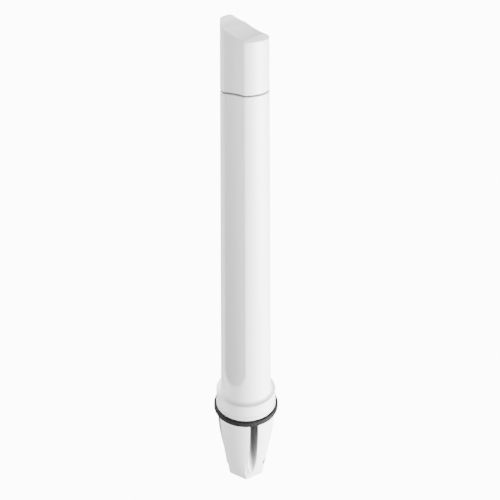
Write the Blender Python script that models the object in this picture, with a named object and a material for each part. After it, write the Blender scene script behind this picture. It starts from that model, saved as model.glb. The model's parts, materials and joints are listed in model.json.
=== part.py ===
"""Mast-top omnidirectional antenna with a free-turning, threaded mounting ferrule.

The origin is the centre of the ferrule's flat foot, +Z runs up the antenna, and the two scallops of
the radome face -Y and +Y. Lengths are metres, written as millimetres times MM.
"""
from math import atan2, cos, hypot, pi, radians, sin, sqrt

import bmesh
import bpy
from mathutils import Matrix

MM = 0.001
GAP = 0.3 * MM                      # clearance between faces that touch on the real object
SHARP_ANGLE = radians(25)           # steeper edges than this are shaded sharp

# Radome: a tapered tube with two scallops, flared into a collar at its foot
TUBE_RADIUS_AT_ZERO = 27.56 * MM    # the tube's cone carried down to z = 0
TUBE_TAPER = 0.0164                 # loss of radius for each unit of height
WALL = 2.2 * MM
SEAM_Z = 428.8 * MM                 # middle of the seam under the cap
SEAM_HEIGHT = 1.4 * MM
SCALLOP_HALF_ANGLE = radians(27.4)
SCALLOP_FLOOR = 0.82                # the floor's distance from the axis, over the tube's radius
SCALLOP_TIP_Z = 131.5 * MM
SCALLOP_END_LENGTH = 18.5 * MM      # height over which the lower end rounds off
COLLAR_RADIUS = 30.7 * MM
COLLAR_BOTTOM_Z = 97.75 * MM
COLLAR_TOP_Z = 111.1 * MM
COLLAR_EDGE = 0.7 * MM              # rounding of the collar's upper edge
FILLET_TOP_Z = 116.0 * MM
COLLAR_BORE = 28.4 * MM
TUBE_LEVELS = (340 * MM, 240 * MM)  # plain levels between the seam and the scallops' ends

# Top cap: a level shelf, a ramp, a hollow arc and a narrow level crest, all ruled along Y
SHELF_Z = 471.7 * MM
RAMP_LOW = (8.5 * MM, 471.7 * MM)
RAMP_HIGH = (-9.5 * MM, 478.9 * MM)
CREST = (-17.3 * MM, 485.7 * MM)
SKIRT_DEPTH = 12.0 * MM             # plug of the cap inside the radome
SKIRT_WALL = 1.5 * MM
CAP_THICKNESS = 2.6 * MM

# Flange and gasket under the collar
FLANGE_RADIUS = 30.9 * MM
FLANGE_EDGE = 0.5 * MM
FLANGE_BORE = 10.0 * MM
FLANGE_STEP_BORE = 22.5 * MM
FLANGE_BOTTOM_Z = 93.3 * MM
FLANGE_TOP_Z = 97.45 * MM
PLUG_RADIUS = 28.1 * MM
PLUG_TOP_Z = 107.0 * MM
PLUG_BORE = 25.5 * MM
PLUG_STEP_Z = 99.3 * MM
SEAL_GROOVE_RADIUS = 26.4 * MM
SEAL_GROOVE_Z = (101.0 * MM, 103.2 * MM)
FLANGE_SEAL_RADIUS = 27.4 * MM      # middle of the O-ring's section
FLANGE_SEAL_SECTION = 0.75 * MM
GASKET_RADIUS = 33.6 * MM
GASKET_EDGE = 0.8 * MM
GASKET_BORE = 19.0 * MM
GASKET_BOTTOM_Z = 87.5 * MM
GASKET_TOP_Z = 93.0 * MM

# Mounting ferrule: half-widths of its taper at heights above the foot
FERRULE_TAPER = [(87.2, 30.2), (69.0, 29.4), (58.0, 28.5), (50.0, 27.4), (38.0, 25.5), (26.0, 23.4),
                 (15.0, 21.4), (7.0, 19.7), (1.0, 18.3)]
FOOT_HALF_FLATS = 18.0 * MM         # half of 36 mm across flats
FOOT_BEVEL = 0.6 * MM
HEX_FADE_Z = 34.0 * MM              # the hexagon of the foot has become round here
FLUTE_ANGLES = [radians(a) for a in (47, 137, 227, 317)]
FLUTE_RADIUS = 4.3 * MM
FLUTE_CENTRE = 24.5 * MM            # from the axis
JOURNAL_BORE = 18.25 * MM
SHOULDER_Z = (25.0 * MM, 30.0 * MM)
SHOULDER_BORE = 12.6 * MM
CLIP_GROOVE = 19.2 * MM
CLIP_GROOVE_Z = (76.6 * MM, 78.4 * MM)

# Thread insert, 1"-14 female, drawn at its minor diameter
INSERT_RADIUS = 15.0 * MM
THREAD_MINOR_RADIUS = 12.1 * MM
INSERT_Z = (0.8 * MM, 24.7 * MM)

# Locking screw, M4 grub screw in the +X corner of the foot
LOCK_Z = 18.0 * MM
LOCK_RADIUS = 2.0 * MM
LOCK_LENGTH = 8.0 * MM
LOCK_TIP_X = 13.2 * MM
LOCK_SOCKET_DEPTH = 2.5 * MM

# Swivel hub: the hollow shaft that the ferrule turns on
HUB_JOURNAL = 17.95 * MM
HUB_NECK = 15.8 * MM
HUB_BORE = 10.6 * MM
HUB_BOTTOM_Z = 34.0 * MM
HUB_STEP_Z = 75.7 * MM
HUB_RECESS = 15.5 * MM
HUB_RECESS_TOP_Z = 41.0 * MM
HUB_SEAL_Z = 61.5 * MM
HUB_GROOVE = 16.1 * MM
HUB_GROOVE_HALF_HEIGHT = 1.5 * MM
HUB_SEAL_RADIUS = 17.2 * MM
HUB_SEAL_SECTION = 0.8 * MM
WASHER_THICKNESS = 0.6 * MM
CLIP_OUTER = 18.9 * MM              # retaining ring
CLIP_INNER = 17.3 * MM
CLIP_LUG = 16.2 * MM
CLIP_OPENING = radians(16)          # half of the gap between its ends
CLIP_LUG_SPAN = radians(9)
HUB_SCREW_CIRCLE = 13.4 * MM
HUB_SCREW_ANGLES = [radians(a) for a in (0, 90, 180, 270)]
SCREW_RADIUS = 1.25 * MM            # M2.5
SCREW_HEAD_RADIUS = 2.2 * MM
SCREW_HEAD_HEIGHT = 1.6 * MM
HUB_SCREW_LENGTH = 12.0 * MM
SCREW_SOCKET_HALF_FLATS = 0.75 * MM
SCREW_SOCKET_FLOOR = 0.6 * MM       # above the head's underside

# Connector plate and its two jacks
PLATE_Z = (38.3 * MM, 40.7 * MM)
PLATE_RADIUS = 15.2 * MM
PLATE_SCREW_X = 13.1 * MM
PLATE_SCREW_LENGTH = 8.0 * MM
JACK_X = 5.2 * MM
JACK_RADIUS = 3.17 * MM             # quarter-inch thread
JACK_BOTTOM_Z = 26.6 * MM
JACK_CRIMP_TOP_Z = 52.0 * MM
JACK_HEX_HALF_FLATS = 4.0 * MM
JACK_FLANGE = 2.0 * MM
JACK_BARREL_TOP_Z = 47.0 * MM
JACK_CRIMP_RADIUS = 2.2 * MM
JACK_SOCKET_BORE = 2.35 * MM
JACK_INSERT_Z = (27.0 * MM, 37.4 * MM)
INSULATOR_RADII = (0.95 * MM, 2.05 * MM)
CONTACT_RADIUS = 0.64 * MM
CONTACT_SETBACK = 0.2 * MM
JACK_WASHER_RADIUS = 4.4 * MM
JACK_WASHER_THICKNESS = 0.5 * MM
JACK_NUT_HEIGHT = 2.0 * MM

# Radiator boards, dipole arms, spacers and feed cables
BOARD_HALF_THICKNESS = 0.8 * MM
SLOT_HALF_THICKNESS = 1.7 * MM
LOWER_BOARD_Z = (104.0 * MM, 272.0 * MM)
LOWER_BOARD_HALF_WIDTH = 12.0 * MM
UPPER_BOARD_Z = (282.0 * MM, 452.0 * MM)
UPPER_BOARD_HALF_WIDTH = 11.0 * MM
ARM_LENGTH = 70.0 * MM
ARM_HALF_WIDTH = 8.5 * MM
ARM_THICKNESS = 0.2 * MM
FEED_GAP = 4.0 * MM
LOWER_FEED_Z = 190.0 * MM
UPPER_FEED_Z = 367.0 * MM
CABLE_RADIUS = 1.1 * MM
CABLE_Y = 4.7 * MM                  # the cables climb behind the boards
SLEEVE_LENGTH = 16.0 * MM
SLEEVE_RADIUS = 3.2 * MM
SLEEVE_BORE = 1.45 * MM
CARRIER_RADIUS = 25.2 * MM
CARRIER_THICKNESS = 3.0 * MM
CARRIER_BLOCK = (14.5 * MM, 3.0 * MM)   # half-sizes of the block that grips the lower board
CARRIER_BLOCK_TOP_Z = 112.0 * MM
SPACER_INSET = WALL + 0.4 * MM
JOINER_Z = (264.0 * MM, 290.0 * MM)
LOWER_SPACER_Z = (140.0 * MM, 145.0 * MM)
UPPER_SPACER_Z = (405.0 * MM, 410.0 * MM)
CABLE_SHIFT_END_Z = 92.0 * MM       # the cables have moved behind the boards here
CABLE_BEND = 3.4 * MM
SLEEVE_Z = (155.0 * MM, 330.0 * MM)


# ---------------------------------------------------------------- building blocks

def make_material(name, colour, roughness, metallic=0.0):
    material = bpy.data.materials.new(name)
    material.use_nodes = True
    shader = material.node_tree.nodes["Principled BSDF"]
    shader.inputs["Base Color"].default_value = (*colour, 1.0)
    shader.inputs["Roughness"].default_value = roughness
    shader.inputs["Metallic"].default_value = metallic
    return material


def add_object(name, bm, material, location=(0, 0, 0), rotation=(0, 0, 0)):
    """Turn a bmesh into a named object."""
    bmesh.ops.recalc_face_normals(bm, faces=bm.faces)
    mesh = bpy.data.meshes.new(name)
    bm.to_mesh(mesh)
    bm.free()
    mesh.shade_smooth()
    mesh.set_sharp_from_angle(angle=SHARP_ANGLE)
    mesh.materials.append(material)
    obj = bpy.data.objects.new(name, mesh)
    obj.location = location
    obj.rotation_euler = rotation
    bpy.context.scene.collection.objects.link(obj)
    return obj


def add_copy(name, source, location, rotation=(0, 0, 0)):
    """Place another object that shares the source's mesh."""
    obj = bpy.data.objects.new(name, source.data)
    obj.location = location
    obj.rotation_euler = rotation
    bpy.context.scene.collection.objects.link(obj)
    return obj


def loft(rings, looped):
    """Skin equal rings of points. A looped skin joins its last ring to its first, and any other
    skin is closed by a face on each end ring."""
    bm = bmesh.new()
    loops = [[bm.verts.new(point) for point in ring] for ring in rings]
    pairs = list(zip(loops, loops[1:]))
    if looped:
        pairs.append((loops[-1], loops[0]))
    for low, high in pairs:
        for i in range(len(low)):
            j = (i + 1) % len(low)
            bm.faces.new((low[i], low[j], high[j], high[i]))
    if not looped:
        bm.faces.new(loops[0])
        bm.faces.new(loops[-1])
    return bm


def circle(radius, z, segments, shift=0.0):
    steps = [2 * pi * (i + shift) / segments for i in range(segments)]
    return [(radius * cos(a), radius * sin(a), z) for a in steps]


def turned(profile, segments=48):
    """A ring-shaped solid: the closed (radius, z) profile turned about Z."""
    return loft([circle(radius, z, segments) for radius, z in profile], looped=True)


def disc(profile, segments=24):
    """A solid of revolution without a hole, from (radius, z) pairs in height order."""
    return loft([circle(radius, z, segments) for radius, z in profile], looped=False)


def ring_profile(centre_radius, centre_z, thickness_radius, steps=6):
    """The round section of an O-ring."""
    angles = [2 * pi * i / steps for i in range(steps)]
    return [(centre_radius + thickness_radius * cos(a), centre_z + thickness_radius * sin(a))
            for a in angles]


def hexagon(half_flats, z, start=0.0):
    corner = half_flats / cos(pi / 6)
    steps = [start + pi * i / 3 for i in range(6)]
    return [(corner * cos(a), corner * sin(a), z) for a in steps]


def box(half_x, half_y, z_range, x=0.0, y=0.0):
    corners = [(x - half_x, y - half_y), (x + half_x, y - half_y),
               (x + half_x, y + half_y), (x - half_x, y + half_y)]
    return loft([[(cx, cy, z) for cx, cy in corners] for z in z_range], looped=False)


def cylinder(radius, z_range, x=0.0, y=0.0, segments=20):
    ring = circle(radius, 0.0, segments, shift=0.37)
    return loft([[(x + px, y + py, z) for px, py, _ in ring] for z in z_range], looped=False)


def combine(target, tools, operation):
    """Join or cut the target with tool meshes, and apply the result to the target's mesh."""
    for tool_bm in tools:
        tool = add_object("tool", tool_bm, target.data.materials[0])
        modifier = target.modifiers.new(operation.lower(), "BOOLEAN")
        modifier.operation = operation
        modifier.solver = "EXACT"
        modifier.object = tool
        graph = bpy.context.evaluated_depsgraph_get()
        mesh = bpy.data.meshes.new_from_object(target.evaluated_get(graph))
        mesh.shade_smooth()
        mesh.set_sharp_from_angle(angle=SHARP_ANGLE)
        target.modifiers.clear()
        old = target.data
        target.data = mesh
        bpy.data.objects.remove(tool)
        bpy.data.meshes.remove(old)
    target.data.name = target.name
    return target


def cut(target, *tools):
    return combine(target, tools, "DIFFERENCE")


def join(target, *tools):
    return combine(target, tools, "UNION")


# ---------------------------------------------------------------- radome and cap

def tube_radius(z):
    return TUBE_RADIUS_AT_ZERO - TUBE_TAPER * z


def scallop_ratio(angle):
    """Distance from the axis to the scallop's arc, over the tube's radius, at an angle from the
    scallop's middle. The arc is hollow and meets the round tube at the scallop's half angle."""
    chord = sin(SCALLOP_HALF_ANGLE)
    rise = cos(SCALLOP_HALF_ANGLE) - SCALLOP_FLOOR
    arc_radius = (chord * chord + rise * rise) / (2 * rise)
    centre = SCALLOP_FLOOR + arc_radius
    along = centre * cos(angle)
    return along - sqrt(max(0.0, along * along - centre * centre + arc_radius * arc_radius))


def scalloped_ring(z, inset=0.0, dish_steps=8, round_steps=14):
    """One level of the body: a circle with a scallop on -Y and on +Y. Points keep their order from
    level to level, and those at a scallop's edge stay on it."""
    radius = tube_radius(z)
    rounding = max(0.0, SCALLOP_TIP_Z + SCALLOP_END_LENGTH - z) / SCALLOP_END_LENGTH
    spread = sqrt(max(0.01, 1 - rounding * rounding))
    half = SCALLOP_HALF_ANGLE * spread
    points = []
    for middle in (-pi / 2, pi / 2):
        for i in range(dish_steps):
            angle = -half + 2 * half * i / dish_steps
            reach = min(1.0, hypot(angle / SCALLOP_HALF_ANGLE, rounding))
            distance = radius * scallop_ratio(SCALLOP_HALF_ANGLE * reach) - inset
            points.append((distance * cos(middle + angle), distance * sin(middle + angle), z))
        for i in range(round_steps):
            angle = middle + half + (pi - 2 * half) * i / round_steps
            points.append(((radius - inset) * cos(angle), (radius - inset) * sin(angle), z))
    return points


def round_ring(radius, z, like):
    """A plain circle whose points have the same directions as those of another ring."""
    angles = [atan2(y, x) for x, y, _ in like]
    return [(radius * cos(a), radius * sin(a), z) for a in angles]


def collar_profile(steps=5):
    """Outside of the flare, from the tube's foot down to the collar's upper edge."""
    start_radius = tube_radius(FILLET_TOP_Z)
    end_radius = COLLAR_RADIUS - COLLAR_EDGE
    end_z = COLLAR_TOP_Z + COLLAR_EDGE
    turns = [pi / 2 * i / steps for i in range(steps + 1)]
    flare = [(end_radius - (end_radius - start_radius) * cos(t),
              FILLET_TOP_Z - (FILLET_TOP_Z - end_z) * sin(t)) for t in turns]
    edge = [(end_radius + COLLAR_EDGE * sin(t), COLLAR_TOP_Z + COLLAR_EDGE * cos(t))
            for t in (pi / 4, pi / 2)]
    return flare + edge


def make_radome(material):
    top = SEAM_Z - SEAM_HEIGHT / 2
    end_steps = 7
    end_levels = [SCALLOP_TIP_Z + SCALLOP_END_LENGTH * (1 - sin(pi / 2 * i / end_steps))
                  for i in range(end_steps + 1)]
    levels = [top, *TUBE_LEVELS] + end_levels
    outside = [scalloped_ring(z) for z in levels]
    plain = outside[-1]
    below_tip = SCALLOP_TIP_Z - 1.5 * MM
    outside.append(round_ring(tube_radius(below_tip), below_tip, plain))
    outside += [round_ring(radius, z, plain) for radius, z in collar_profile()]
    outside.append(round_ring(COLLAR_RADIUS, COLLAR_BOTTOM_Z, plain))
    inside = [round_ring(COLLAR_BORE, COLLAR_BOTTOM_Z, plain),
              round_ring(COLLAR_BORE, PLUG_TOP_Z + 1 * MM, plain),
              round_ring(tube_radius(FILLET_TOP_Z) - WALL, FILLET_TOP_Z + 2 * MM, plain)]
    inside += [scalloped_ring(z, WALL) for z in reversed(levels[:-1:2])]
    return add_object("radome", loft(outside + inside, looped=True), material)


def cap_outline(drop=0.0, steps=6):
    """The cap's top in the XZ plane, from the low side to the crest, lowered by drop."""
    slope = atan2(RAMP_HIGH[1] - RAMP_LOW[1], RAMP_LOW[0] - RAMP_HIGH[0])
    run = hypot(RAMP_HIGH[0] - CREST[0], CREST[1] - RAMP_HIGH[1])
    turn = 2 * (atan2(CREST[1] - RAMP_HIGH[1], RAMP_HIGH[0] - CREST[0]) - slope)
    radius = run / (2 * sin(turn / 2))
    points = [(40 * MM, SHELF_Z), RAMP_LOW]
    for i in range(steps + 1):
        heading = slope + turn * i / steps
        points.append((RAMP_HIGH[0] - radius * (sin(heading) - sin(slope)),
                       RAMP_HIGH[1] + radius * (cos(slope) - cos(heading))))
    points.append((-40 * MM, CREST[1]))
    return [(x, z - drop) for x, z in points]


def above_cap(drop=0.0):
    """Everything above the cap's top, as a tool that cuts it to shape."""
    outline = cap_outline(drop) + [(-40 * MM, 520 * MM), (40 * MM, 520 * MM)]
    return loft([[(x, y, z) for x, z in outline] for y in (-40 * MM, 40 * MM)], looped=False)


def make_top_cap(material):
    bottom = SEAM_Z + SEAM_HEIGHT / 2
    skirt_inset = WALL + GAP
    skirt_bottom = SEAM_Z - SKIRT_DEPTH
    levels = [(skirt_bottom, skirt_inset), (bottom, skirt_inset), (bottom, 0.0), (500 * MM, 0.0)]
    cap = add_object("top_cap", loft([scalloped_ring(z, inset) for z, inset in levels], False),
                     material)
    hollow_inset = skirt_inset + SKIRT_WALL
    hollow_rings = [scalloped_ring(z, hollow_inset) for z in (skirt_bottom - 5 * MM, 500 * MM)]
    hollow = add_object("cap_hollow", loft(hollow_rings, looped=False), material)
    cut(hollow, above_cap(drop=CAP_THICKNESS))
    hollow_bm = bmesh.new()
    hollow_bm.from_mesh(hollow.data)
    bpy.data.objects.remove(hollow)
    return cut(cap, above_cap(), hollow_bm)


def make_cap_seal(material):
    low, high = SEAM_Z - SEAM_HEIGHT / 2 + GAP, SEAM_Z + SEAM_HEIGHT / 2 - GAP
    rings = [scalloped_ring(low, GAP), scalloped_ring(high, GAP),
             scalloped_ring(high, WALL - 0.1 * MM), scalloped_ring(low, WALL - 0.1 * MM)]
    return add_object("cap_seal", loft(rings, looped=True), material)


# ---------------------------------------------------------------- flange, gasket and hub

def make_base_flange(material):
    edge = FLANGE_EDGE
    groove_low, groove_high = SEAL_GROOVE_Z
    profile = [(FLANGE_BORE, FLANGE_BOTTOM_Z), (FLANGE_RADIUS - edge, FLANGE_BOTTOM_Z),
               (FLANGE_RADIUS, FLANGE_BOTTOM_Z + edge), (FLANGE_RADIUS, FLANGE_TOP_Z - edge),
               (FLANGE_RADIUS - edge, FLANGE_TOP_Z), (PLUG_RADIUS, FLANGE_TOP_Z),
               (PLUG_RADIUS, groove_low), (SEAL_GROOVE_RADIUS, groove_low),
               (SEAL_GROOVE_RADIUS, groove_high), (PLUG_RADIUS, groove_high),
               (PLUG_RADIUS, PLUG_TOP_Z), (PLUG_BORE, PLUG_TOP_Z), (PLUG_BORE, PLUG_STEP_Z),
               (FLANGE_STEP_BORE, PLUG_STEP_Z), (FLANGE_STEP_BORE, FLANGE_TOP_Z),
               (FLANGE_BORE, FLANGE_TOP_Z)]
    flange = add_object("base_flange", turned(profile, 36), material)
    span = (FLANGE_BOTTOM_Z - 1 * MM, FLANGE_TOP_Z + 1 * MM)
    holes = [cylinder(SCREW_RADIUS + GAP, span, HUB_SCREW_CIRCLE * cos(a),
                      HUB_SCREW_CIRCLE * sin(a), 12) for a in HUB_SCREW_ANGLES]
    return cut(flange, *holes)


def make_gasket_ring(material):
    edge = GASKET_EDGE
    low_edge, high_edge = GASKET_BOTTOM_Z + edge, GASKET_TOP_Z - edge
    turns = [pi / 2 * i / 3 for i in range(4)]
    rim = [(GASKET_RADIUS - edge + edge * sin(t), low_edge - edge * cos(t)) for t in turns]
    rim += [(GASKET_RADIUS - edge + edge * cos(t), high_edge + edge * sin(t)) for t in turns]
    profile = [(GASKET_BORE, GASKET_BOTTOM_Z)] + rim + [(GASKET_BORE, GASKET_TOP_Z)]
    return add_object("gasket_ring", turned(profile, 40), material)


def make_flange_seal(material):
    middle = sum(SEAL_GROOVE_Z) / 2
    section = ring_profile(FLANGE_SEAL_RADIUS, middle, FLANGE_SEAL_SECTION)
    return add_object("flange_seal", turned(section, 28), material)


def make_swivel_hub(material):
    half = HUB_GROOVE_HALF_HEIGHT
    profile = [(HUB_BORE, HUB_RECESS_TOP_Z), (HUB_RECESS, HUB_RECESS_TOP_Z),
               (HUB_RECESS, HUB_BOTTOM_Z), (HUB_JOURNAL - 0.5 * MM, HUB_BOTTOM_Z),
               (HUB_JOURNAL, HUB_BOTTOM_Z + 0.5 * MM), (HUB_JOURNAL, HUB_SEAL_Z - half),
               (HUB_GROOVE, HUB_SEAL_Z - half), (HUB_GROOVE, HUB_SEAL_Z + half),
               (HUB_JOURNAL, HUB_SEAL_Z + half), (HUB_JOURNAL, HUB_STEP_Z),
               (HUB_NECK, HUB_STEP_Z), (HUB_NECK, GASKET_TOP_Z), (HUB_BORE, GASKET_TOP_Z)]
    hub = add_object("swivel_hub", turned(profile, 32), material)
    screw_foot = FLANGE_TOP_Z - HUB_SCREW_LENGTH - 1 * MM
    holes = [cylinder(SCREW_RADIUS + GAP, (screw_foot, GASKET_TOP_Z + 1 * MM),
                      HUB_SCREW_CIRCLE * cos(a), HUB_SCREW_CIRCLE * sin(a), 12)
             for a in HUB_SCREW_ANGLES]
    plate_top = PLATE_Z[0] + PLATE_SCREW_LENGTH + 1 * MM
    holes += [cylinder(SCREW_RADIUS + GAP, (HUB_RECESS_TOP_Z - 1 * MM, plate_top), x, 0.0, 12)
              for x in (-PLATE_SCREW_X, PLATE_SCREW_X)]
    return cut(hub, *holes)


def make_hub_seal(material):
    section = ring_profile(HUB_SEAL_RADIUS, HUB_SEAL_Z, HUB_SEAL_SECTION)
    return add_object("hub_seal", turned(section, 24), material)


def make_thrust_washer(material):
    low, high = HUB_STEP_Z + GAP, HUB_STEP_Z + GAP + WASHER_THICKNESS
    inner, outer = HUB_NECK + GAP, HUB_JOURNAL
    profile = [(inner, low), (outer, low), (outer, high), (inner, high)]
    return add_object("thrust_washer", turned(profile, 32), material)


def make_retaining_ring(material):
    """Internal circlip: an open ring with a lug at each end."""
    low, high = CLIP_GROOVE_Z[0] + GAP, CLIP_GROOVE_Z[1] - GAP
    steps = 28
    sweep = 2 * pi - 2 * CLIP_OPENING
    rings = []
    for i in range(steps + 1):
        angle = CLIP_OPENING + sweep * i / steps
        near_end = min(i, steps - i) * sweep / steps < CLIP_LUG_SPAN
        inside = CLIP_LUG if near_end else CLIP_INNER
        section = [(inside, low), (CLIP_OUTER, low), (CLIP_OUTER, high), (inside, high)]
        rings.append([(radius * cos(angle), radius * sin(angle), z) for radius, z in section])
    return add_object("retaining_ring", loft(rings, looped=False), material)


def make_screw(name, length, material, location, downwards):
    """Pan-head screw with a hexagonal socket. Its head's underside is at its origin."""
    bm = disc([(SCREW_RADIUS, -length), (SCREW_RADIUS, 0.0)], 12)
    screw = add_object(name, bm, material)
    head = disc([(SCREW_HEAD_RADIUS, -0.01 * MM), (SCREW_HEAD_RADIUS, SCREW_HEAD_HEIGHT * 0.6),
                 (SCREW_HEAD_RADIUS * 0.75, SCREW_HEAD_HEIGHT)], 16)
    join(screw, head)
    socket_span = (SCREW_SOCKET_FLOOR, SCREW_HEAD_HEIGHT + 1 * MM)
    cut(screw, loft([hexagon(SCREW_SOCKET_HALF_FLATS, z) for z in socket_span], looped=False))
    screw.location = location
    screw.rotation_euler = (0, 0, 0) if downwards else (pi, 0, 0)
    return screw


def make_hub_screws(material):
    height = FLANGE_TOP_Z + GAP
    spots = [(HUB_SCREW_CIRCLE * cos(a), HUB_SCREW_CIRCLE * sin(a), height)
             for a in HUB_SCREW_ANGLES]
    first = make_screw("hub_screw_1", HUB_SCREW_LENGTH, material, spots[0], downwards=True)
    for number, spot in enumerate(spots[1:], start=2):
        add_copy(f"hub_screw_{number}", first, spot)


# ---------------------------------------------------------------- ferrule

def ferrule_half_width(z):
    """Linear between the heights of the taper."""
    levels = [(height * MM, width * MM) for height, width in FERRULE_TAPER]
    for (z1, w1), (z0, w0) in zip(levels, levels[1:]):
        if z >= z0:
            return w0 + (w1 - w0) * (z - z0) / (z1 - z0)
    return FOOT_HALF_FLATS


def ferrule_ring(z, inset=0.0, segments=60):
    """A circle that turns into a hexagon, corners on +X and -X, towards the foot."""
    width = ferrule_half_width(z) - inset
    fade = min(1.0, max(0.0, z / HEX_FADE_Z))
    share = (1 - fade) ** 2
    points = []
    for i in range(segments):
        angle = 2 * pi * i / segments
        from_flat = (angle % (pi / 3)) - pi / 6
        radius = width * (1 - share) + width / cos(from_flat) * share
        points.append((radius * cos(angle), radius * sin(angle), z))
    return points


def make_mounting_ferrule(material):
    segments = 60
    heights = [height * MM for height, _ in FERRULE_TAPER]
    rings = [ferrule_ring(z) for z in heights] + [ferrule_ring(0.0, FOOT_BEVEL)]
    groove_low, groove_high = CLIP_GROOVE_Z
    pocket = INSERT_RADIUS + GAP
    inside = [(pocket, 0.0), (pocket, SHOULDER_Z[0]), (SHOULDER_BORE, SHOULDER_Z[0]),
              (SHOULDER_BORE, SHOULDER_Z[1]), (JOURNAL_BORE, SHOULDER_Z[1]),
              (JOURNAL_BORE, groove_low), (CLIP_GROOVE, groove_low), (CLIP_GROOVE, groove_high),
              (JOURNAL_BORE, groove_high), (JOURNAL_BORE, heights[0])]
    rings += [circle(radius, z, segments) for radius, z in inside]
    ferrule = add_object("mounting_ferrule", loft(rings, looped=True), material)
    return cut(ferrule, *[flute(angle) for angle in FLUTE_ANGLES], lock_hole())


def flute(angle, steps=9):
    """Upright channel with a round floor and straight sides. The taper of the ferrule runs out of
    it below, which gives the flute its pointed foot."""
    turns = [pi / 2 + pi * i / steps for i in range(steps + 1)]
    outline = [(FLUTE_CENTRE + FLUTE_RADIUS * cos(t), FLUTE_RADIUS * sin(t)) for t in turns]
    outline += [(40 * MM, -FLUTE_RADIUS), (40 * MM, FLUTE_RADIUS)]
    bm = loft([[(x, y, z) for x, y in outline] for z in (-5 * MM, 95 * MM)], looped=False)
    bmesh.ops.rotate(bm, verts=bm.verts, matrix=Matrix.Rotation(angle, 3, "Z"))
    return bm


def lock_hole():
    hole = cylinder(LOCK_RADIUS + GAP, (10 * MM, 30 * MM), segments=16)
    bmesh.ops.transform(hole, verts=hole.verts,
                        matrix=Matrix.Translation((0, 0, LOCK_Z)) @ Matrix.Rotation(pi / 2, 4, "Y"))
    return hole


def make_thread_insert(material):
    low, high = INSERT_Z
    profile = [(THREAD_MINOR_RADIUS + 0.8 * MM, low), (INSERT_RADIUS, low), (INSERT_RADIUS, high),
               (THREAD_MINOR_RADIUS, high), (THREAD_MINOR_RADIUS, low + 0.8 * MM)]
    return cut(add_object("thread_insert", turned(profile, 36), material), lock_hole())


def make_locking_screw(material):
    """Grub screw with a cone point towards the axis and a hexagonal socket outside."""
    bm = disc([(0.8 * MM, 0.0), (LOCK_RADIUS, 1.2 * MM), (LOCK_RADIUS, LOCK_LENGTH)], 16)
    screw = add_object("locking_screw", bm, material)
    socket = loft([hexagon(1.0 * MM, z) for z in (LOCK_LENGTH - LOCK_SOCKET_DEPTH,
                                                  LOCK_LENGTH + 1 * MM)], looped=False)
    cut(screw, socket)
    screw.location = (LOCK_TIP_X, 0, LOCK_Z)
    screw.rotation_euler = (0, pi / 2, 0)
    return screw


# ---------------------------------------------------------------- connectors

def make_connector_plate(material):
    low, high = PLATE_Z
    plate = add_object("connector_plate", disc([(PLATE_RADIUS, low), (PLATE_RADIUS, high)], 32),
                       material)
    span = (low - 1 * MM, high + 1 * MM)
    holes = [cylinder(JACK_RADIUS + GAP, span, x, 0.0, 16) for x in (-JACK_X, JACK_X)]
    holes += [cylinder(SCREW_RADIUS + GAP, span, x, 0.0, 12)
              for x in (-PLATE_SCREW_X, PLATE_SCREW_X)]
    cut(plate, *holes)
    first = make_screw("plate_screw_1", PLATE_SCREW_LENGTH, material,
                       (-PLATE_SCREW_X, 0, low - GAP), downwards=False)
    add_copy("plate_screw_2", first, (PLATE_SCREW_X, 0, low - GAP), (pi, 0, 0))
    return plate


def make_jack(letter, x, gold, white, steel):
    """Bulkhead coaxial jack that points down, with its nut and washer above the plate."""
    flange_high = PLATE_Z[0] - GAP
    flange_low = flange_high - JACK_FLANGE
    edge = 0.3 * MM
    body = add_object(f"jack_{letter}_body", disc(
        [(JACK_RADIUS - edge, JACK_BOTTOM_Z), (JACK_RADIUS, JACK_BOTTOM_Z + edge),
         (JACK_RADIUS, JACK_BARREL_TOP_Z), (JACK_CRIMP_RADIUS, JACK_BARREL_TOP_Z),
         (JACK_CRIMP_RADIUS, JACK_CRIMP_TOP_Z)], 20), gold)
    join(body, loft([hexagon(JACK_HEX_HALF_FLATS, z) for z in (flange_low, flange_high)], False))
    cut(body, cylinder(JACK_SOCKET_BORE, (JACK_BOTTOM_Z - 1 * MM, flange_high), segments=16))
    body.location.x = x
    low, high = JACK_INSERT_Z
    inner, outer = INSULATOR_RADII
    insulator = turned([(inner, low), (outer, low), (outer, high), (inner, high)], 16)
    add_object(f"jack_{letter}_insulator", insulator, white, (x, 0, 0))
    contact = disc([(CONTACT_RADIUS, low + CONTACT_SETBACK), (CONTACT_RADIUS, high)], 10)
    add_object(f"jack_{letter}_contact", contact, gold, (x, 0, 0))
    washer_low = PLATE_Z[1] + GAP
    washer_high = washer_low + JACK_WASHER_THICKNESS
    hole = JACK_RADIUS + GAP
    washer = turned([(hole, washer_low), (JACK_WASHER_RADIUS, washer_low),
                     (JACK_WASHER_RADIUS, washer_high), (hole, washer_high)], 20)
    add_object(f"jack_{letter}_washer", washer, steel, (x, 0, 0))
    nut_low = washer_high + GAP
    nut_high = nut_low + JACK_NUT_HEIGHT
    nut = add_object(f"jack_{letter}_nut", loft(
        [hexagon(JACK_HEX_HALF_FLATS, z) for z in (nut_low, nut_high)], False), gold)
    cut(nut, cylinder(hole, (nut_low - 1 * MM, nut_high + 1 * MM), segments=20))
    nut.location.x = x


# ---------------------------------------------------------------- radiators

def board_slot(half_width, z_range):
    return box(half_width + GAP, SLOT_HALF_THICKNESS, z_range)


def cable_holes(z_range):
    return [cylinder(CABLE_RADIUS + 0.5 * MM, z_range, x, CABLE_Y, 14) for x in (-JACK_X, JACK_X)]


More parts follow.
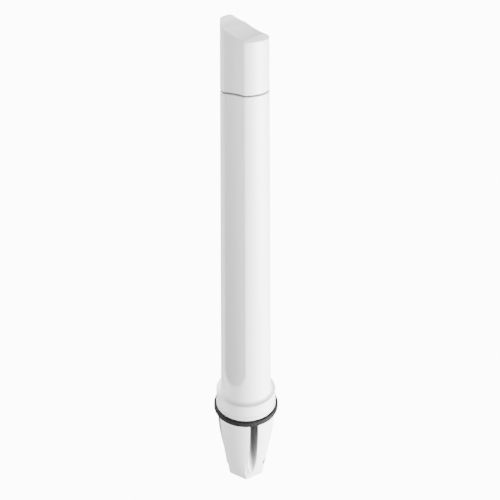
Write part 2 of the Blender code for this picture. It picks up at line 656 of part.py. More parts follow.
def make_board_carrier(material):
    """Disc on the flange's step, with a block that holds the foot of the lower board."""
    low, high = PLUG_STEP_Z + GAP, PLUG_STEP_Z + GAP + CARRIER_THICKNESS
    carrier = add_object("board_carrier", disc([(CARRIER_RADIUS, low), (CARRIER_RADIUS, high)], 40),
                         material)
    join(carrier, box(*CARRIER_BLOCK, (high - 0.5 * MM, CARRIER_BLOCK_TOP_Z)))
    slot_span = (LOWER_BOARD_Z[0] - GAP, CARRIER_BLOCK_TOP_Z + 1 * MM)
    return cut(carrier, board_slot(LOWER_BOARD_HALF_WIDTH, slot_span),
               *cable_holes((low - 1 * MM, high + 1 * MM)))


def spacer_disc(name, low, high, material):
    """Slice of the radome's inside."""
    rings = [scalloped_ring(z, SPACER_INSET, dish_steps=6, round_steps=8) for z in (low, high)]
    return add_object(name, loft(rings, looped=False), material)


def make_spacer(name, z_range, half_width, material):
    through = (z_range[0] - 1 * MM, z_range[1] + 1 * MM)
    return cut(spacer_disc(name, *z_range, material), board_slot(half_width, through),
               *cable_holes(through))


def make_board_joiner(material):
    """Spacer between the two boards, slotted from both ends."""
    low, high = JOINER_Z
    return cut(spacer_disc("board_joiner", low, high, material),
               board_slot(LOWER_BOARD_HALF_WIDTH, (low - 1 * MM, LOWER_BOARD_Z[1] + GAP)),
               board_slot(UPPER_BOARD_HALF_WIDTH, (UPPER_BOARD_Z[0] - GAP, high + 1 * MM)),
               *cable_holes((low - 1 * MM, high + 1 * MM)))


def make_radiator(prefix, z_range, half_width, feed_z, board_material, copper):
    """A board in the XZ plane with the two arms of a dipole on its -Y face."""
    add_object(f"{prefix}_board", box(half_width, BOARD_HALF_THICKNESS, z_range), board_material)
    arm_y = -(BOARD_HALF_THICKNESS + GAP + ARM_THICKNESS / 2)
    low_arm = (feed_z - FEED_GAP / 2 - ARM_LENGTH, feed_z - FEED_GAP / 2)
    high_arm = (feed_z + FEED_GAP / 2, feed_z + FEED_GAP / 2 + ARM_LENGTH)
    for name, span in ((f"{prefix}_dipole_lower_arm", low_arm),
                       (f"{prefix}_dipole_upper_arm", high_arm)):
        add_object(name, box(ARM_HALF_WIDTH, ARM_THICKNESS / 2, span, y=arm_y), copper)


def make_feed_cable(name, x, feed_z, material):
    """Coaxial cable from a jack's crimp, up behind the boards, to the feed point it turns into."""
    start = JACK_CRIMP_TOP_Z + GAP
    shift_end, bend = CABLE_SHIFT_END_Z, CABLE_BEND
    points = []
    for i in range(13):
        share = i / 12
        ease = share * share * (3 - 2 * share)
        points.append((x, CABLE_Y * ease, start + (shift_end - start) * share))
    top = feed_z - bend
    climb = max(2, round((top - shift_end) / (30 * MM)))
    points += [(x, CABLE_Y, shift_end + (top - shift_end) * i / climb) for i in range(1, climb + 1)]
    reach = CABLE_Y - bend
    points += [(x, reach + bend * cos(a), top + bend * sin(a))
               for a in (pi / 8, pi / 4, 3 * pi / 8, pi / 2)]
    curve = bpy.data.curves.new(name, "CURVE")
    curve.dimensions = "3D"
    curve.bevel_depth = CABLE_RADIUS
    curve.bevel_resolution = 2
    curve.use_fill_caps = True
    curve.materials.append(material)
    spline = curve.splines.new("POLY")
    spline.points.add(len(points) - 1)
    for point, position in zip(spline.points, points):
        point.co = (*position, 1.0)
    cable = bpy.data.objects.new(name, curve)
    bpy.context.scene.collection.objects.link(cable)
    return cable


def make_ferrite_sleeve(name, x, low, material):
    high = low + SLEEVE_LENGTH
    profile = [(SLEEVE_BORE, low), (SLEEVE_RADIUS, low), (SLEEVE_RADIUS, high), (SLEEVE_BORE, high)]
    return add_object(name, turned(profile, 16), material, (x, CABLE_Y, 0))


# ---------------------------------------------------------------- assembly

def build():
    for obj in list(bpy.data.objects):
        bpy.data.objects.remove(obj)
    white = make_material("white_plastic", (0.83, 0.83, 0.83), 0.35)
    black = make_material("black_rubber", (0.045, 0.045, 0.048), 0.6)
    steel = make_material("stainless_steel", (0.62, 0.62, 0.63), 0.28, 1.0)
    brass = make_material("brass", (0.72, 0.55, 0.26), 0.3, 1.0)
    dark_steel = make_material("black_steel", (0.06, 0.06, 0.063), 0.4, 1.0)
    grey = make_material("grey_rubber", (0.12, 0.12, 0.12), 0.6)
    gold = make_material("gold_plate", (0.9, 0.68, 0.28), 0.22, 1.0)
    copper = make_material("copper", (0.78, 0.42, 0.26), 0.3, 1.0)
    laminate = make_material("glass_epoxy", (0.09, 0.26, 0.12), 0.45)
    nylon = make_material("natural_nylon", (0.74, 0.71, 0.62), 0.5)
    ferrite = make_material("ferrite", (0.09, 0.09, 0.1), 0.55)

    make_radome(white)
    make_top_cap(white)
    make_cap_seal(grey)
    make_base_flange(white)
    make_gasket_ring(black)
    make_flange_seal(black)
    make_swivel_hub(nylon)
    make_hub_seal(black)
    make_thrust_washer(white)
    make_retaining_ring(steel)
    make_hub_screws(steel)

    make_mounting_ferrule(white)
    make_thread_insert(brass)
    make_locking_screw(dark_steel)

    make_connector_plate(steel)
    make_jack("a", -JACK_X, gold, white, steel)
    make_jack("b", JACK_X, gold, white, steel)

    make_board_carrier(nylon)
    make_spacer("lower_spacer", LOWER_SPACER_Z, LOWER_BOARD_HALF_WIDTH, nylon)
    make_board_joiner(nylon)
    make_spacer("upper_spacer", UPPER_SPACER_Z, UPPER_BOARD_HALF_WIDTH, nylon)
    make_radiator("lower", LOWER_BOARD_Z, LOWER_BOARD_HALF_WIDTH, LOWER_FEED_Z, laminate, copper)
    make_radiator("upper", UPPER_BOARD_Z, UPPER_BOARD_HALF_WIDTH, UPPER_FEED_Z, laminate, copper)
    make_feed_cable("lower_feed_cable", -JACK_X, LOWER_FEED_Z, black)
    make_feed_cable("upper_feed_cable", JACK_X, UPPER_FEED_Z, black)
    make_ferrite_sleeve("lower_ferrite_sleeve", -JACK_X, SLEEVE_Z[0], ferrite)
    make_ferrite_sleeve("upper_ferrite_sleeve", JACK_X, SLEEVE_Z[1], ferrite)


build()
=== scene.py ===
"""Looks of a mast-top omnidirectional antenna: fine meshes, materials and a studio.

Lengths are metres, written as millimetres times MM. Angles go round +Z from +X. The two scallops
face -Y and +Y, the cap is high on -X, and the locking screw is on +X.
"""

import json
from math import acos, asin, atan2, cos, hypot, pi, radians, sin, sqrt

import bmesh
import bpy
import numpy as np
from mathutils import Matrix, Vector


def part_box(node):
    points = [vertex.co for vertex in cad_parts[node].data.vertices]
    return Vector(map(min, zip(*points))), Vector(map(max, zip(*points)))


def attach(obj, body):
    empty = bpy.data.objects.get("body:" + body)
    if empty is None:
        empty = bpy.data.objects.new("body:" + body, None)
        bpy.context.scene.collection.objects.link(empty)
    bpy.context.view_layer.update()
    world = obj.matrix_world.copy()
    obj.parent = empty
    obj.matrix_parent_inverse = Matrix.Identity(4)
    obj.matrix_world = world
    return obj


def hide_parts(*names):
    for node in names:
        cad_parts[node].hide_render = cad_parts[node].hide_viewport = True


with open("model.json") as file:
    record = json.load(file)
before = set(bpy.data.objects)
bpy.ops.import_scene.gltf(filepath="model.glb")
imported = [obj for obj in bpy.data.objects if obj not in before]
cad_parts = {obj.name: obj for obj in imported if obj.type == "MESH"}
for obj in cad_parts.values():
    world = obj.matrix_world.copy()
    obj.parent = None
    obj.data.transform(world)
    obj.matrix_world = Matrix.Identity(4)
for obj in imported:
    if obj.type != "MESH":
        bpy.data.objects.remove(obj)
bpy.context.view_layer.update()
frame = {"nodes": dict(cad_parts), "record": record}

MM = 0.001
SEGMENTS = 240  # points round the tube
SHARP_ANGLE = radians(35)  # steeper edges than this are shaded sharp

# Tube, scallops, collar and cap, as in the solids
TUBE_RADIUS_AT_ZERO = 27.56 * MM
TUBE_TAPER = 0.0164
WALL = 2.2 * MM
GAP = 0.3 * MM
SCALLOP_HALF_ANGLE = radians(27.4)
SCALLOP_FLOOR = 0.82  # distance from the axis over the tube's radius
SCALLOP_TIP_Z = 131.5 * MM
SCALLOP_END_LENGTH = 18.5 * MM
SCALLOP_EDGE = 0.06  # height over which the edge is rounded, over the radius
SCALLOP_DEPTH_LIMIT = 0.21  # no outer surface is deeper than this, over the radius
# Painted shade in the scallops and in the crease above the collar, as shares of the colour taken
# away
SHADE_Z = (160 * MM, 430 * MM)  # between these heights a scallop's shade goes from the first
SCALLOP_SHADE = (0.38, 0.22)  # of these shares of the colour to the second
CREASE_SHADE = 0.07  # painted shade in the hollow above the collar
CREASE_HEIGHT = 1.6 * MM
SHELL_EDGE = 0.4 * MM  # rounding of the radome's and the cap's other edges
COLLAR_EDGE = 0.7 * MM
COLLAR_TOP_Z = 111.1 * MM
COLLAR_BORE = 28.4 * MM
FILLET_TOP_Z = 116.0 * MM
CAP_EDGE = 0.35 * MM
CAP_SOFTNESS = 1.0 * MM  # the bends of the cap's top are rounded over this reach
CAP_THICKNESS = 2.6 * MM
SHELF_Z = 471.7 * MM
RAMP_LOW = (8.5 * MM, 471.7 * MM)
RAMP_HIGH = (-9.5 * MM, 478.9 * MM)
CREST = (-17.3 * MM, 485.7 * MM)
SKIRT_WALL = 1.5 * MM

# Flange and gasket
FLANGE_BORE = 10.0 * MM
FLANGE_STEP_BORE = 22.5 * MM
FLANGE_TOP_Z = 97.45 * MM
PLUG_RADIUS = 28.1 * MM
PLUG_BORE = 25.5 * MM
PLUG_STEP_Z = 99.3 * MM
PLUG_TOP_Z = 107.0 * MM
SEAL_GROOVE_RADIUS = 26.4 * MM
SEAL_GROOVE_Z = (101.0 * MM, 103.2 * MM)
GASKET_BORE = 19.0 * MM
GASKET_EDGE = 0.8 * MM
GASKET_GROOVE = (23.0 * MM, 24.4 * MM)  # a fine groove in the lower face
GASKET_GROOVE_DEPTH = 0.4 * MM

# Ferrule
FERRULE_TAPER = [(87.2, 30.2), (69.0, 29.4), (58.0, 28.5), (50.0, 27.4), (38.0, 25.5), (26.0, 23.4),
                 (15.0, 21.4), (7.0, 19.7), (0.0, 18.0)]
HEX_FADE_Z = 34.0 * MM
HEX_SHARPNESS = 130  # exponent that blends the six sides; more is sharper
FOOT_EDGE = 0.25 * MM
FLUTE_ANGLES = [radians(a) for a in (47, 137, 227, 317)]
FLUTE_RADIUS = 4.3 * MM
FLUTE_CENTRE = 24.5 * MM
FLUTE_FLOOR = FLUTE_CENTRE - FLUTE_RADIUS
FLUTE_WINDOW = radians(17)  # the outline within this angle of a flute follows its path
FLUTE_POINTS = 60
BETWEEN_POINTS = 36
LIP_SOFTNESS = 0.55 * MM
# Painted shade in the flutes, growing with their depth
FLUTE_DARKENING = 2.6 * MM  # depth that takes away all but 1/e of the colour
FLUTE_DARKEST = 0.94
TOP_EDGE = 0.6 * MM
TOP_SHADE = 0.4  # painted shadow right under the gasket
POCKET = 15.3 * MM  # bores inside, from the foot up
SHOULDER_BORE = 12.6 * MM
SHOULDER_Z = (25.0 * MM, 30.0 * MM)
JOURNAL_BORE = 18.25 * MM
CLIP_GROOVE = 19.2 * MM
CLIP_GROOVE_Z = (76.6 * MM, 78.4 * MM)
LOCK_Z = 18.0 * MM
LOCK_HOLE = 2.3 * MM
LOCK_MOUTH_X = 21.9 * MM  # the hole flares out from here
LOCK_FLARE = 0.7 * MM
# painted shade in the locking screw's hole
LOCK_SHADE = 0.97

# Swivel hub and retaining ring
HUB_JOURNAL = 17.95 * MM
HUB_NECK = 15.8 * MM
HUB_BORE = 10.6 * MM
HUB_RECESS = 15.5 * MM
HUB_RECESS_TOP_Z = 41.0 * MM
HUB_STEP_Z = 75.7 * MM
HUB_GROOVE = 16.1 * MM
HUB_GROOVE_Z = (60.0 * MM, 63.0 * MM)
HUB_HOLE_FLOOR_Z = 84.4 * MM  # blind holes for the flange's screws
PLATE_HOLE_TOP_Z = 47.3 * MM  # and for the connector plate's
CLIP_OUTER = 18.9 * MM
CLIP_INNER = 17.3 * MM
CLIP_LUG = 16.2 * MM
CLIP_OPENING = radians(16)  # half of the gap between its ends
CLIP_LUG_SPAN = radians(9)
CLIP_EYE = 0.75 * MM
CLIP_EYE_CIRCLE = 17.5 * MM

# Threads and connectors
THREAD_PITCH = 25.4 * MM / 14
THREAD_MINOR = 12.1 * MM
THREAD_MAJOR = 12.7 * MM
INSERT_GROOVES_Z = (10 * MM, 5 * MM)
HUB_SCREWS = [f"hub_screw_{number}" for number in range(1, 5)]
SCREW_HOLE = 1.55 * MM
PLATE_SCREW_X = 13.1 * MM
JACK_X = 5.2 * MM
JACK_RADIUS = 3.17 * MM
JACK_MINOR = 2.85 * MM
JACK_PITCH = 0.7056 * MM  # 36 threads an inch
JACK_BORE = 2.35 * MM
JACK_HEX_HALF_FLATS = 4.0 * MM
JACK_FLANGE_Z = (36.0 * MM, 38.0 * MM)
JACK_BARREL_TOP_Z = 47.0 * MM
CRIMP_RADIUS = 2.2 * MM
CRIMP_GROOVE_Z = (47.9 * MM, 50.6 * MM)
CRIMP_GROOVE_DEPTH = 0.25 * MM
INSULATOR_RADII = (0.95 * MM, 2.05 * MM)
CONTACT_RADIUS = 0.64 * MM
CONTACT_BORE = 0.44 * MM
WASHER_RADIUS = 4.4 * MM


def heights(node):
    """Lowest and highest z of a solid."""
    low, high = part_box(node)
    return low.z, high.z


def axis_of(node):
    """Where a solid's upright middle line stands: x and y."""
    low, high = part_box(node)
    return (low.x + high.x) / 2, (low.y + high.y) / 2


# -------- meshes

def ring(radius, z, angles):
    """A level of points. The radius and z are numbers, or arrays with one value for each angle."""
    return np.stack([radius * np.cos(angles), radius * np.sin(angles),
                     np.broadcast_to(z, angles.shape)], axis=1)


def polar(distance, angles):
    return np.stack([distance * np.cos(angles), distance * np.sin(angles)], axis=1)


def even_angles(count=SEGMENTS):
    return 2 * pi * np.arange(count) / count


def skin(name, rings, material, looped=False, sharp=SHARP_ANGLE):
    """A closed mesh through equal rings. A looped one joins its last ring to its first, and any
    other is closed by a face at each end."""
    count = len(rings[0])
    verts = np.concatenate(rings)
    faces = []
    for k in range(len(rings) if looped else len(rings) - 1):
        low, high = k * count, (k + 1) % len(rings) * count
        for i in range(count):
            j = (i + 1) % count
            faces.append((low + i, low + j, high + j, high + i))
    if not looped:
        last = (len(rings) - 1) * count
        faces.append(tuple(range(count)))
        faces.append(tuple(range(last, last + count)))
    mesh = bpy.data.meshes.new(name)
    mesh.from_pydata(verts.tolist(), [], faces)
    bm = bmesh.new()
    bm.from_mesh(mesh)
    bmesh.ops.recalc_face_normals(bm, faces=bm.faces)
    bm.to_mesh(mesh)
    bm.free()
    mesh.shade_smooth()
    mesh.set_sharp_from_angle(angle=sharp)
    mesh.materials.append(material)
    obj = bpy.data.objects.new(name, mesh)
    bpy.context.scene.collection.objects.link(obj)
    return obj


def stack(name, levels, material, angles, looped=False):
    """A closed mesh through (radius, z) levels; a radius may be an array over the angles."""
    return skin(name, [ring(radius, z, angles) for radius, z in levels], material, looped)


def turned(name, profile, material, segments=180):
    """A ring-shaped piece: a closed (radius, z) profile turned about Z."""
    return stack(name, profile, material, even_angles(segments), looped=True)


def rounded(corners, radius, steps=5):
    """A closed (radius, z) profile with its corners rounded. A corner is (r, z), or (r, z, radius)
    where it has a rounding of its own; 0 keeps it sharp."""
    points = []
    for i, (r, z, *own) in enumerate(corners):
        size = own[0] if own else radius
        here = Vector((r, z))
        before = (Vector(corners[i - 1][:2]) - here).normalized()
        after = (Vector(corners[(i + 1) % len(corners)][:2]) - here).normalized()
        if size == 0:
            points.append((r, z))
            continue
        half = before.angle(after) / 2
        reach = size / np.tan(half)
        centre = here + (before + after).normalized() * (size / sin(half))
        start = here + before * reach - centre
        sweep = (pi - 2 * half) * (-1 if before.cross(after) > 0 else 1)
        for k in range(steps + 1):
            turn = sweep * k / steps
            points.append((centre.x + start.x * cos(turn) - start.y * sin(turn),
                           centre.y + start.x * sin(turn) + start.y * cos(turn)))
    return points


def boolean(target, tool, operation="DIFFERENCE"):
    """Apply a cut or a union to the target's mesh, and remove the tool."""
    modifier = target.modifiers.new("boolean", "BOOLEAN")
    modifier.operation = operation
    modifier.solver = "EXACT"
    modifier.object = tool
    graph = bpy.context.evaluated_depsgraph_get()
    mesh = bpy.data.meshes.new_from_object(target.evaluated_get(graph))
    target.modifiers.clear()
    old, target.data = target.data, mesh
    bpy.data.objects.remove(tool)
    bpy.data.meshes.remove(old)
    mesh.shade_smooth()
    mesh.set_sharp_from_angle(angle=SHARP_ANGLE)
    return target


def moved(piece, x=0.0, y=0.0, z=0.0, turn=None):
    """Turn a piece about the origin, then shift it, in its mesh."""
    if turn is not None:
        piece.data.transform(turn)
    piece.data.transform(Matrix.Translation((x, y, z)))
    return piece


def drill(target, radius, low, high, x=0.0, y=0.0, mouth=0.25 * MM):
    """A round hole along Z through faces at two heights, with chamfered mouths."""
    flare = mouth + 1 * MM
    levels = [(radius + flare, low - 1 * MM), (radius, low + mouth), (radius, high - mouth),
              (radius + flare, high + 1 * MM)]
    tool = stack("drill", levels, target.data.materials[0], even_angles(32) + 0.01)
    return boolean(target, moved(tool, x, y))


def place(piece, body, slot, *nodes):
    """The piece rides on the body and stands for the nodes, whose solids are hidden. The slot is
    not used.
    """
    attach(piece, body)
    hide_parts(*nodes)
    return piece


def set_painted_shade(piece, values):
    """Store for each point the share of the colour taken away by painted shade."""
    attribute = piece.data.attributes.new("painted_shade", "FLOAT", "POINT")
    attribute.data.foreach_set("value", np.asarray(values, np.float32))


def points_of(piece):
    co = np.zeros(len(piece.data.vertices) * 3, np.float32)
    piece.data.vertices.foreach_get("co", co)
    return co.reshape(-1, 3).astype(float)


# -------- radome and cap

def tube_radius(z):
    return TUBE_RADIUS_AT_ZERO - TUBE_TAPER * z


def scallop_reach(angles, z):
    """0 in the middle of a scallop, 1 on its edge and more outside it."""
    from_y = np.abs(np.abs(np.mod(angles, 2 * pi) - pi) - pi / 2)
    rounding = np.maximum(0.0, SCALLOP_TIP_Z + SCALLOP_END_LENGTH - z) / SCALLOP_END_LENGTH
    return np.hypot(from_y / SCALLOP_HALF_ANGLE, rounding)


def tube_ratio(angles, z):
    """Distance of the scalloped outline from the axis, over the tube's radius."""
    chord = sin(SCALLOP_HALF_ANGLE)
    rise = cos(SCALLOP_HALF_ANGLE) - SCALLOP_FLOOR
    arc_radius = (chord * chord + rise * rise) / (2 * rise)
    centre = SCALLOP_FLOOR + arc_radius
    along = centre * np.cos(np.minimum(1.5, SCALLOP_HALF_ANGLE * scallop_reach(angles, z)))
    under_root = along * along - centre * centre + arc_radius * arc_radius
    dish = np.where(under_root > 0, along - np.sqrt(np.maximum(0, under_root)), 2.0)
    near = np.maximum(SCALLOP_EDGE - np.abs(1 - dish), 0) / SCALLOP_EDGE
    return np.minimum(1, dish) - near * near * SCALLOP_EDGE / 4


def tube_ring(z, inset=0.0):
    angles = even_angles()
    return ring(tube_radius(z) * tube_ratio(angles, z) - inset, z, angles)


def edge_turns(steps=5):
    return [pi / 2 * k / steps for k in range(steps + 1)]


def radome_painted_shade(piece):
    """Painted shade: the floor of a scallop is painted a little darker, most of all low down and
    away from +X, and so is the hollow of the flare just above the collar."""
    co = points_of(piece)
    angles = np.arctan2(co[:, 1], co[:, 0])
    depth = 1 - np.hypot(co[:, 0], co[:, 1]) / tube_radius(co[:, 2])
    # painted shade on a scallop's floor, fading out towards +X
    inside = np.clip((1.02 - scallop_reach(angles, co[:, 2])) / 0.10, 0, 1)
    across = co[:, 0] / (tube_radius(co[:, 2]) * sin(SCALLOP_HALF_ANGLE))
    fade = np.sqrt(np.clip((1 - across) / 2, 0, 1))
    strength = np.interp(co[:, 2], SHADE_Z, SCALLOP_SHADE)
    scallop = inside * inside * (3 - 2 * inside) * fade * strength
    # painted shade in the hollow of the flare above the collar
    from_crease = (co[:, 2] - (COLLAR_TOP_Z + COLLAR_EDGE)) / CREASE_HEIGHT
    crease = CREASE_SHADE * np.exp(-from_crease * from_crease)
    outer = depth < SCALLOP_DEPTH_LIMIT
    return np.where(outer, np.maximum(scallop, crease), 0)


def make_radome(material):
    low, high = heights("radome")
    collar_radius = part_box("radome")[1].x
    angles = even_angles()
    edge = SHELL_EDGE
    rings = [tube_ring(high, 1.2 * MM)]
    rings += [tube_ring(high - edge * (1 - cos(t)), edge * (1 - sin(t))) for t in edge_turns(4)]
    straight_foot = SCALLOP_TIP_Z + SCALLOP_END_LENGTH + 3 * MM
    below_tip = SCALLOP_TIP_Z - 4 * MM
    levels = np.concatenate([np.linspace(high - 2 * edge, straight_foot, 56),
                             np.linspace(straight_foot, below_tip, 44)[1:],
                             np.linspace(below_tip, FILLET_TOP_Z + 1 * MM, 8)[1:]])
    rings += [tube_ring(z) for z in levels]
    flare_start, flare_end = tube_radius(FILLET_TOP_Z), collar_radius - COLLAR_EDGE
    flare_foot = COLLAR_TOP_Z + COLLAR_EDGE
    rings += [ring(flare_end - (flare_end - flare_start) * cos(t),
                   FILLET_TOP_Z - (FILLET_TOP_Z - flare_foot) * sin(t), angles)
              for t in edge_turns(14)]
    rings += [ring(flare_end + COLLAR_EDGE * sin(t), COLLAR_TOP_Z + COLLAR_EDGE * cos(t), angles)
              for t in edge_turns(7)[1:]]
    rings += [ring(collar_radius, z, angles) for z in np.linspace(COLLAR_TOP_Z, low + edge, 8)[1:]]
    rings += [ring(collar_radius - edge * (1 - cos(t)), low + edge * (1 - sin(t)), angles)
              for t in edge_turns(4)[1:]]
    rings.append(ring(COLLAR_BORE, low, angles))
    rings.append(ring(COLLAR_BORE, PLUG_TOP_Z + 1 * MM, angles))
    rings.append(ring(tube_radius(FILLET_TOP_Z) - WALL, FILLET_TOP_Z + 2 * MM, angles))
    rings += [tube_ring(z, WALL) for z in np.linspace(SCALLOP_TIP_Z - 2 * MM, straight_foot, 12)]
    rings += [tube_ring(z, WALL) for z in np.linspace(straight_foot, high, 12)[1:]]
    radome = skin("radome_shell", rings, material, looped=True)
    # painted shade in the scallops and the crease, stored on the points
    set_painted_shade(radome, radome_painted_shade(radome))
    return place(radome, "antenna", "white_radome_plastic", "radome")


def cap_top(x):
    """Height of the cap's top at x: a level shelf, a ramp, a hollow arc and a level crest."""
    slope = atan2(RAMP_HIGH[1] - RAMP_LOW[1], RAMP_LOW[0] - RAMP_HIGH[0])
    run = hypot(RAMP_HIGH[0] - CREST[0], CREST[1] - RAMP_HIGH[1])
    turn = 2 * (atan2(CREST[1] - RAMP_HIGH[1], RAMP_HIGH[0] - CREST[0]) - slope)
    radius = run / (2 * sin(turn / 2))
    headings = slope + turn * np.linspace(1, 0, 24)
    arc_x = RAMP_HIGH[0] - radius * (np.sin(headings) - sin(slope))
    arc_z = RAMP_HIGH[1] + radius * (cos(slope) - np.cos(headings))
    line_x = np.concatenate([[-40 * MM], arc_x, [RAMP_LOW[0], 40 * MM]])
    line_z = np.concatenate([[CREST[1]], arc_z, [SHELF_Z, SHELF_Z]])
    offsets = CAP_SOFTNESS * np.linspace(-1, 1, 9)
    return np.mean([np.interp(x + step, line_x, line_z) for step in offsets], axis=0)


def make_top_cap(material):
    bottom = heights("cap_seal")[1] + GAP
    skirt_bottom = heights("top_cap")[0]
    edge = SHELL_EDGE
    angles = even_angles()
    rings = []

    def wall(z, inset):
        return tube_radius(z) * tube_ratio(angles, z) - inset

    rim_z = SHELF_Z + 0 * angles
    for _ in range(4):  # each pass brings the rim's height nearer to the cap's top
        rim_z = cap_top(wall(rim_z, 0.0) * np.cos(angles))
    inset = WALL + GAP + SKIRT_WALL
    for share in np.linspace(0.02, 1, 10):
        distance = wall(rim_z - CAP_THICKNESS, inset) * share
        rings.append(ring(distance, cap_top(distance * np.cos(angles)) - CAP_THICKNESS, angles))
    rings += [ring(wall(z, depth), z, angles)
              for z, depth in ((skirt_bottom, inset), (skirt_bottom, WALL + GAP),
                               (bottom, WALL + GAP))]
    rings += [ring(wall(bottom, edge * (1 - sin(t))), bottom + edge * (1 - cos(t)), angles)
              for t in edge_turns(4)]
    for share in np.linspace(0, 1, 30)[1:]:
        z = bottom + edge + (rim_z - CAP_EDGE - bottom - edge) * share
        rings.append(ring(wall(z, 0.0), z, angles))
    rim = wall(rim_z - CAP_EDGE, 0.0)
    for t in edge_turns(8)[1:]:
        distance = rim - CAP_EDGE * (1 - cos(t))
        z = cap_top(distance * np.cos(angles)) - CAP_EDGE * (1 - sin(t))
        rings.append(ring(distance, z, angles))
    for share in np.linspace(1, 0.02, 30)[1:]:
        distance = (rim - CAP_EDGE) * share
        rings.append(ring(distance, cap_top(distance * np.cos(angles)), angles))
    cap = skin("top_cap_shell", rings, material)
    # painted shade in the scallops, stored on the points
    set_painted_shade(cap, radome_painted_shade(cap))
    return place(cap, "antenna", "white_radome_plastic", "top_cap")


def make_cap_seal(material):
    low, high = heights("cap_seal")
    outer, inner, edge = GAP, WALL - 0.1 * MM, 0.35 * MM
    rings = [tube_ring(low, inner), tube_ring(low, outer + edge)]
    rings += [tube_ring(low + edge * (1 - cos(t)), outer + edge * (1 - sin(t)))
              for t in edge_turns(4)[1:]]
    rings += [tube_ring(high - edge * (1 - sin(t)), outer + edge * (1 - cos(t)))
              for t in edge_turns(4)[:-1]]
    rings += [tube_ring(high, outer + edge), tube_ring(high, inner)]
    seal = skin("seam_seal", rings, material, looped=True)
    return place(seal, "antenna", "grey_rubber", "cap_seal")


# -------- flange and gasket

def make_flange(material):
    low, high = heights("base_flange")[0], FLANGE_TOP_Z
    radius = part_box("base_flange")[1].x
    groove_low, groove_high = SEAL_GROOVE_Z
    corners = [(FLANGE_BORE, low), (radius, low), (radius, high), (PLUG_RADIUS, high),
               (PLUG_RADIUS, groove_low), (SEAL_GROOVE_RADIUS, groove_low),
               (SEAL_GROOVE_RADIUS, groove_high), (PLUG_RADIUS, groove_high),
               (PLUG_RADIUS, PLUG_TOP_Z), (PLUG_BORE, PLUG_TOP_Z), (PLUG_BORE, PLUG_STEP_Z),
               (FLANGE_STEP_BORE, PLUG_STEP_Z), (FLANGE_STEP_BORE, high), (FLANGE_BORE, high)]
    flange = turned("flange_body", rounded(corners, 0.3 * MM, 4), material)
    for screw in HUB_SCREWS:
        drill(flange, SCREW_HOLE, low, high, *axis_of(screw))
    return place(flange, "antenna", "white_radome_plastic", "base_flange")


def make_gasket(material):
    """Flat ring with a rounded rim and a fine groove round its lower face."""
    low, high = heights("gasket_ring")
    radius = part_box("gasket_ring")[1].x
    inner, outer = GASKET_GROOVE
    depth = GASKET_GROOVE_DEPTH
    corners = [(GASKET_BORE, low, 0.3 * MM), (inner, low, 0), (inner + depth, low + depth, 0),
               (outer - depth, low + depth, 0), (outer, low, 0), (radius, low), (radius, high),
               (GASKET_BORE, high, 0.3 * MM)]
    gasket = turned("gasket_seal", rounded(corners, GASKET_EDGE, 8), material, 240)
    return place(gasket, "antenna", "black_rubber", "gasket_ring")


# -------- ferrule

def ferrule_width(z):
    """Half-width of the taper, with its bends softened."""
    levels = [height * MM for height, _ in reversed(FERRULE_TAPER)]
    widths = [width * MM for _, width in reversed(FERRULE_TAPER)]
    offsets = np.linspace(-1, 1, 9) * min(4 * MM, z, levels[-1] - z)
    return np.mean([np.interp(z + step, levels, widths) for step in offsets])


def ferrule_radius(angles, z, inset=0.0):
    """Distance of the plain body from the axis: round above, a hexagon towards the foot."""
    width = ferrule_width(z) - inset
    share = (1 - min(1.0, z / HEX_FADE_Z)) ** 2
    sides = [np.maximum(0, np.cos(angles - pi / 6 - pi * k / 3)) ** HEX_SHARPNESS for k in range(6)]
    hexagon = 1 / np.sum(sides, axis=0) ** (1 / HEX_SHARPNESS)
    return width * (1 - share) + width * hexagon * share


def flute_path(middle, z, inset):
    """Points along the outline across one flute, evenly spaced, with soft lips."""
    window = FLUTE_WINDOW + radians(2)
    width = float(ferrule_radius(np.array([middle]), z, inset)[0])
    if width <= FLUTE_FLOOR:
        side = np.linspace(-window, window, 400)
        distance = ferrule_radius(middle + side, z, inset)
        local = polar(distance, side)
    else:
        if width < hypot(FLUTE_CENTRE, FLUTE_RADIUS):
            lip = acos((width ** 2 + FLUTE_CENTRE ** 2 - FLUTE_RADIUS ** 2)
                       / (2 * width * FLUTE_CENTRE))
            start = atan2(width * sin(lip), width * cos(lip) - FLUTE_CENTRE)
        else:
            lip = asin(FLUTE_RADIUS / width)
            start = pi / 2
        side = np.linspace(lip, window, 120)
        distance = ferrule_radius(middle + side, z, inset)
        beside = polar(distance, side)
        turns = np.linspace(start, pi, 120)
        floor = np.stack([FLUTE_CENTRE + FLUTE_RADIUS * np.cos(turns),
                          FLUTE_RADIUS * np.sin(turns)], axis=1)
        half = np.concatenate([beside[::-1], floor])
        local = np.concatenate([half * (1, 1), (half * (1, -1))[::-1]])[::-1]
    return soften(local, middle)


def soften(local, middle):
    """Round a path's corners by a moving average, cut it to the window and space it evenly."""
    gaps = np.hypot(*np.diff(local, axis=0).T)
    along = np.concatenate([[0], np.cumsum(gaps)])
    spots = np.linspace(0, along[-1], 500)
    offsets = np.linspace(-LIP_SOFTNESS, LIP_SOFTNESS, 9)

    def read(where):
        return np.stack([np.interp(where, along, local[:, axis]) for axis in (0, 1)], axis=1)

    smooth = np.mean([read(spots + step) for step in offsets], axis=0)
    side = np.arctan2(smooth[:, 1], smooth[:, 0])
    first = np.interp(-FLUTE_WINDOW, side[:60], spots[:60])
    last = np.interp(FLUTE_WINDOW, side[-60:], spots[-60:])
    even = np.linspace(first, last, FLUTE_POINTS)
    u, v = (np.interp(even, spots, smooth[:, axis]) for axis in (0, 1))
    return np.stack([u * cos(middle) - v * sin(middle), u * sin(middle) + v * cos(middle)], axis=1)


def angles_after(middle):
    """Directions between one flute's window and the next."""
    return np.linspace(middle + FLUTE_WINDOW, middle + pi / 2 - FLUTE_WINDOW,
                       BETWEEN_POINTS + 2)[1:-1]


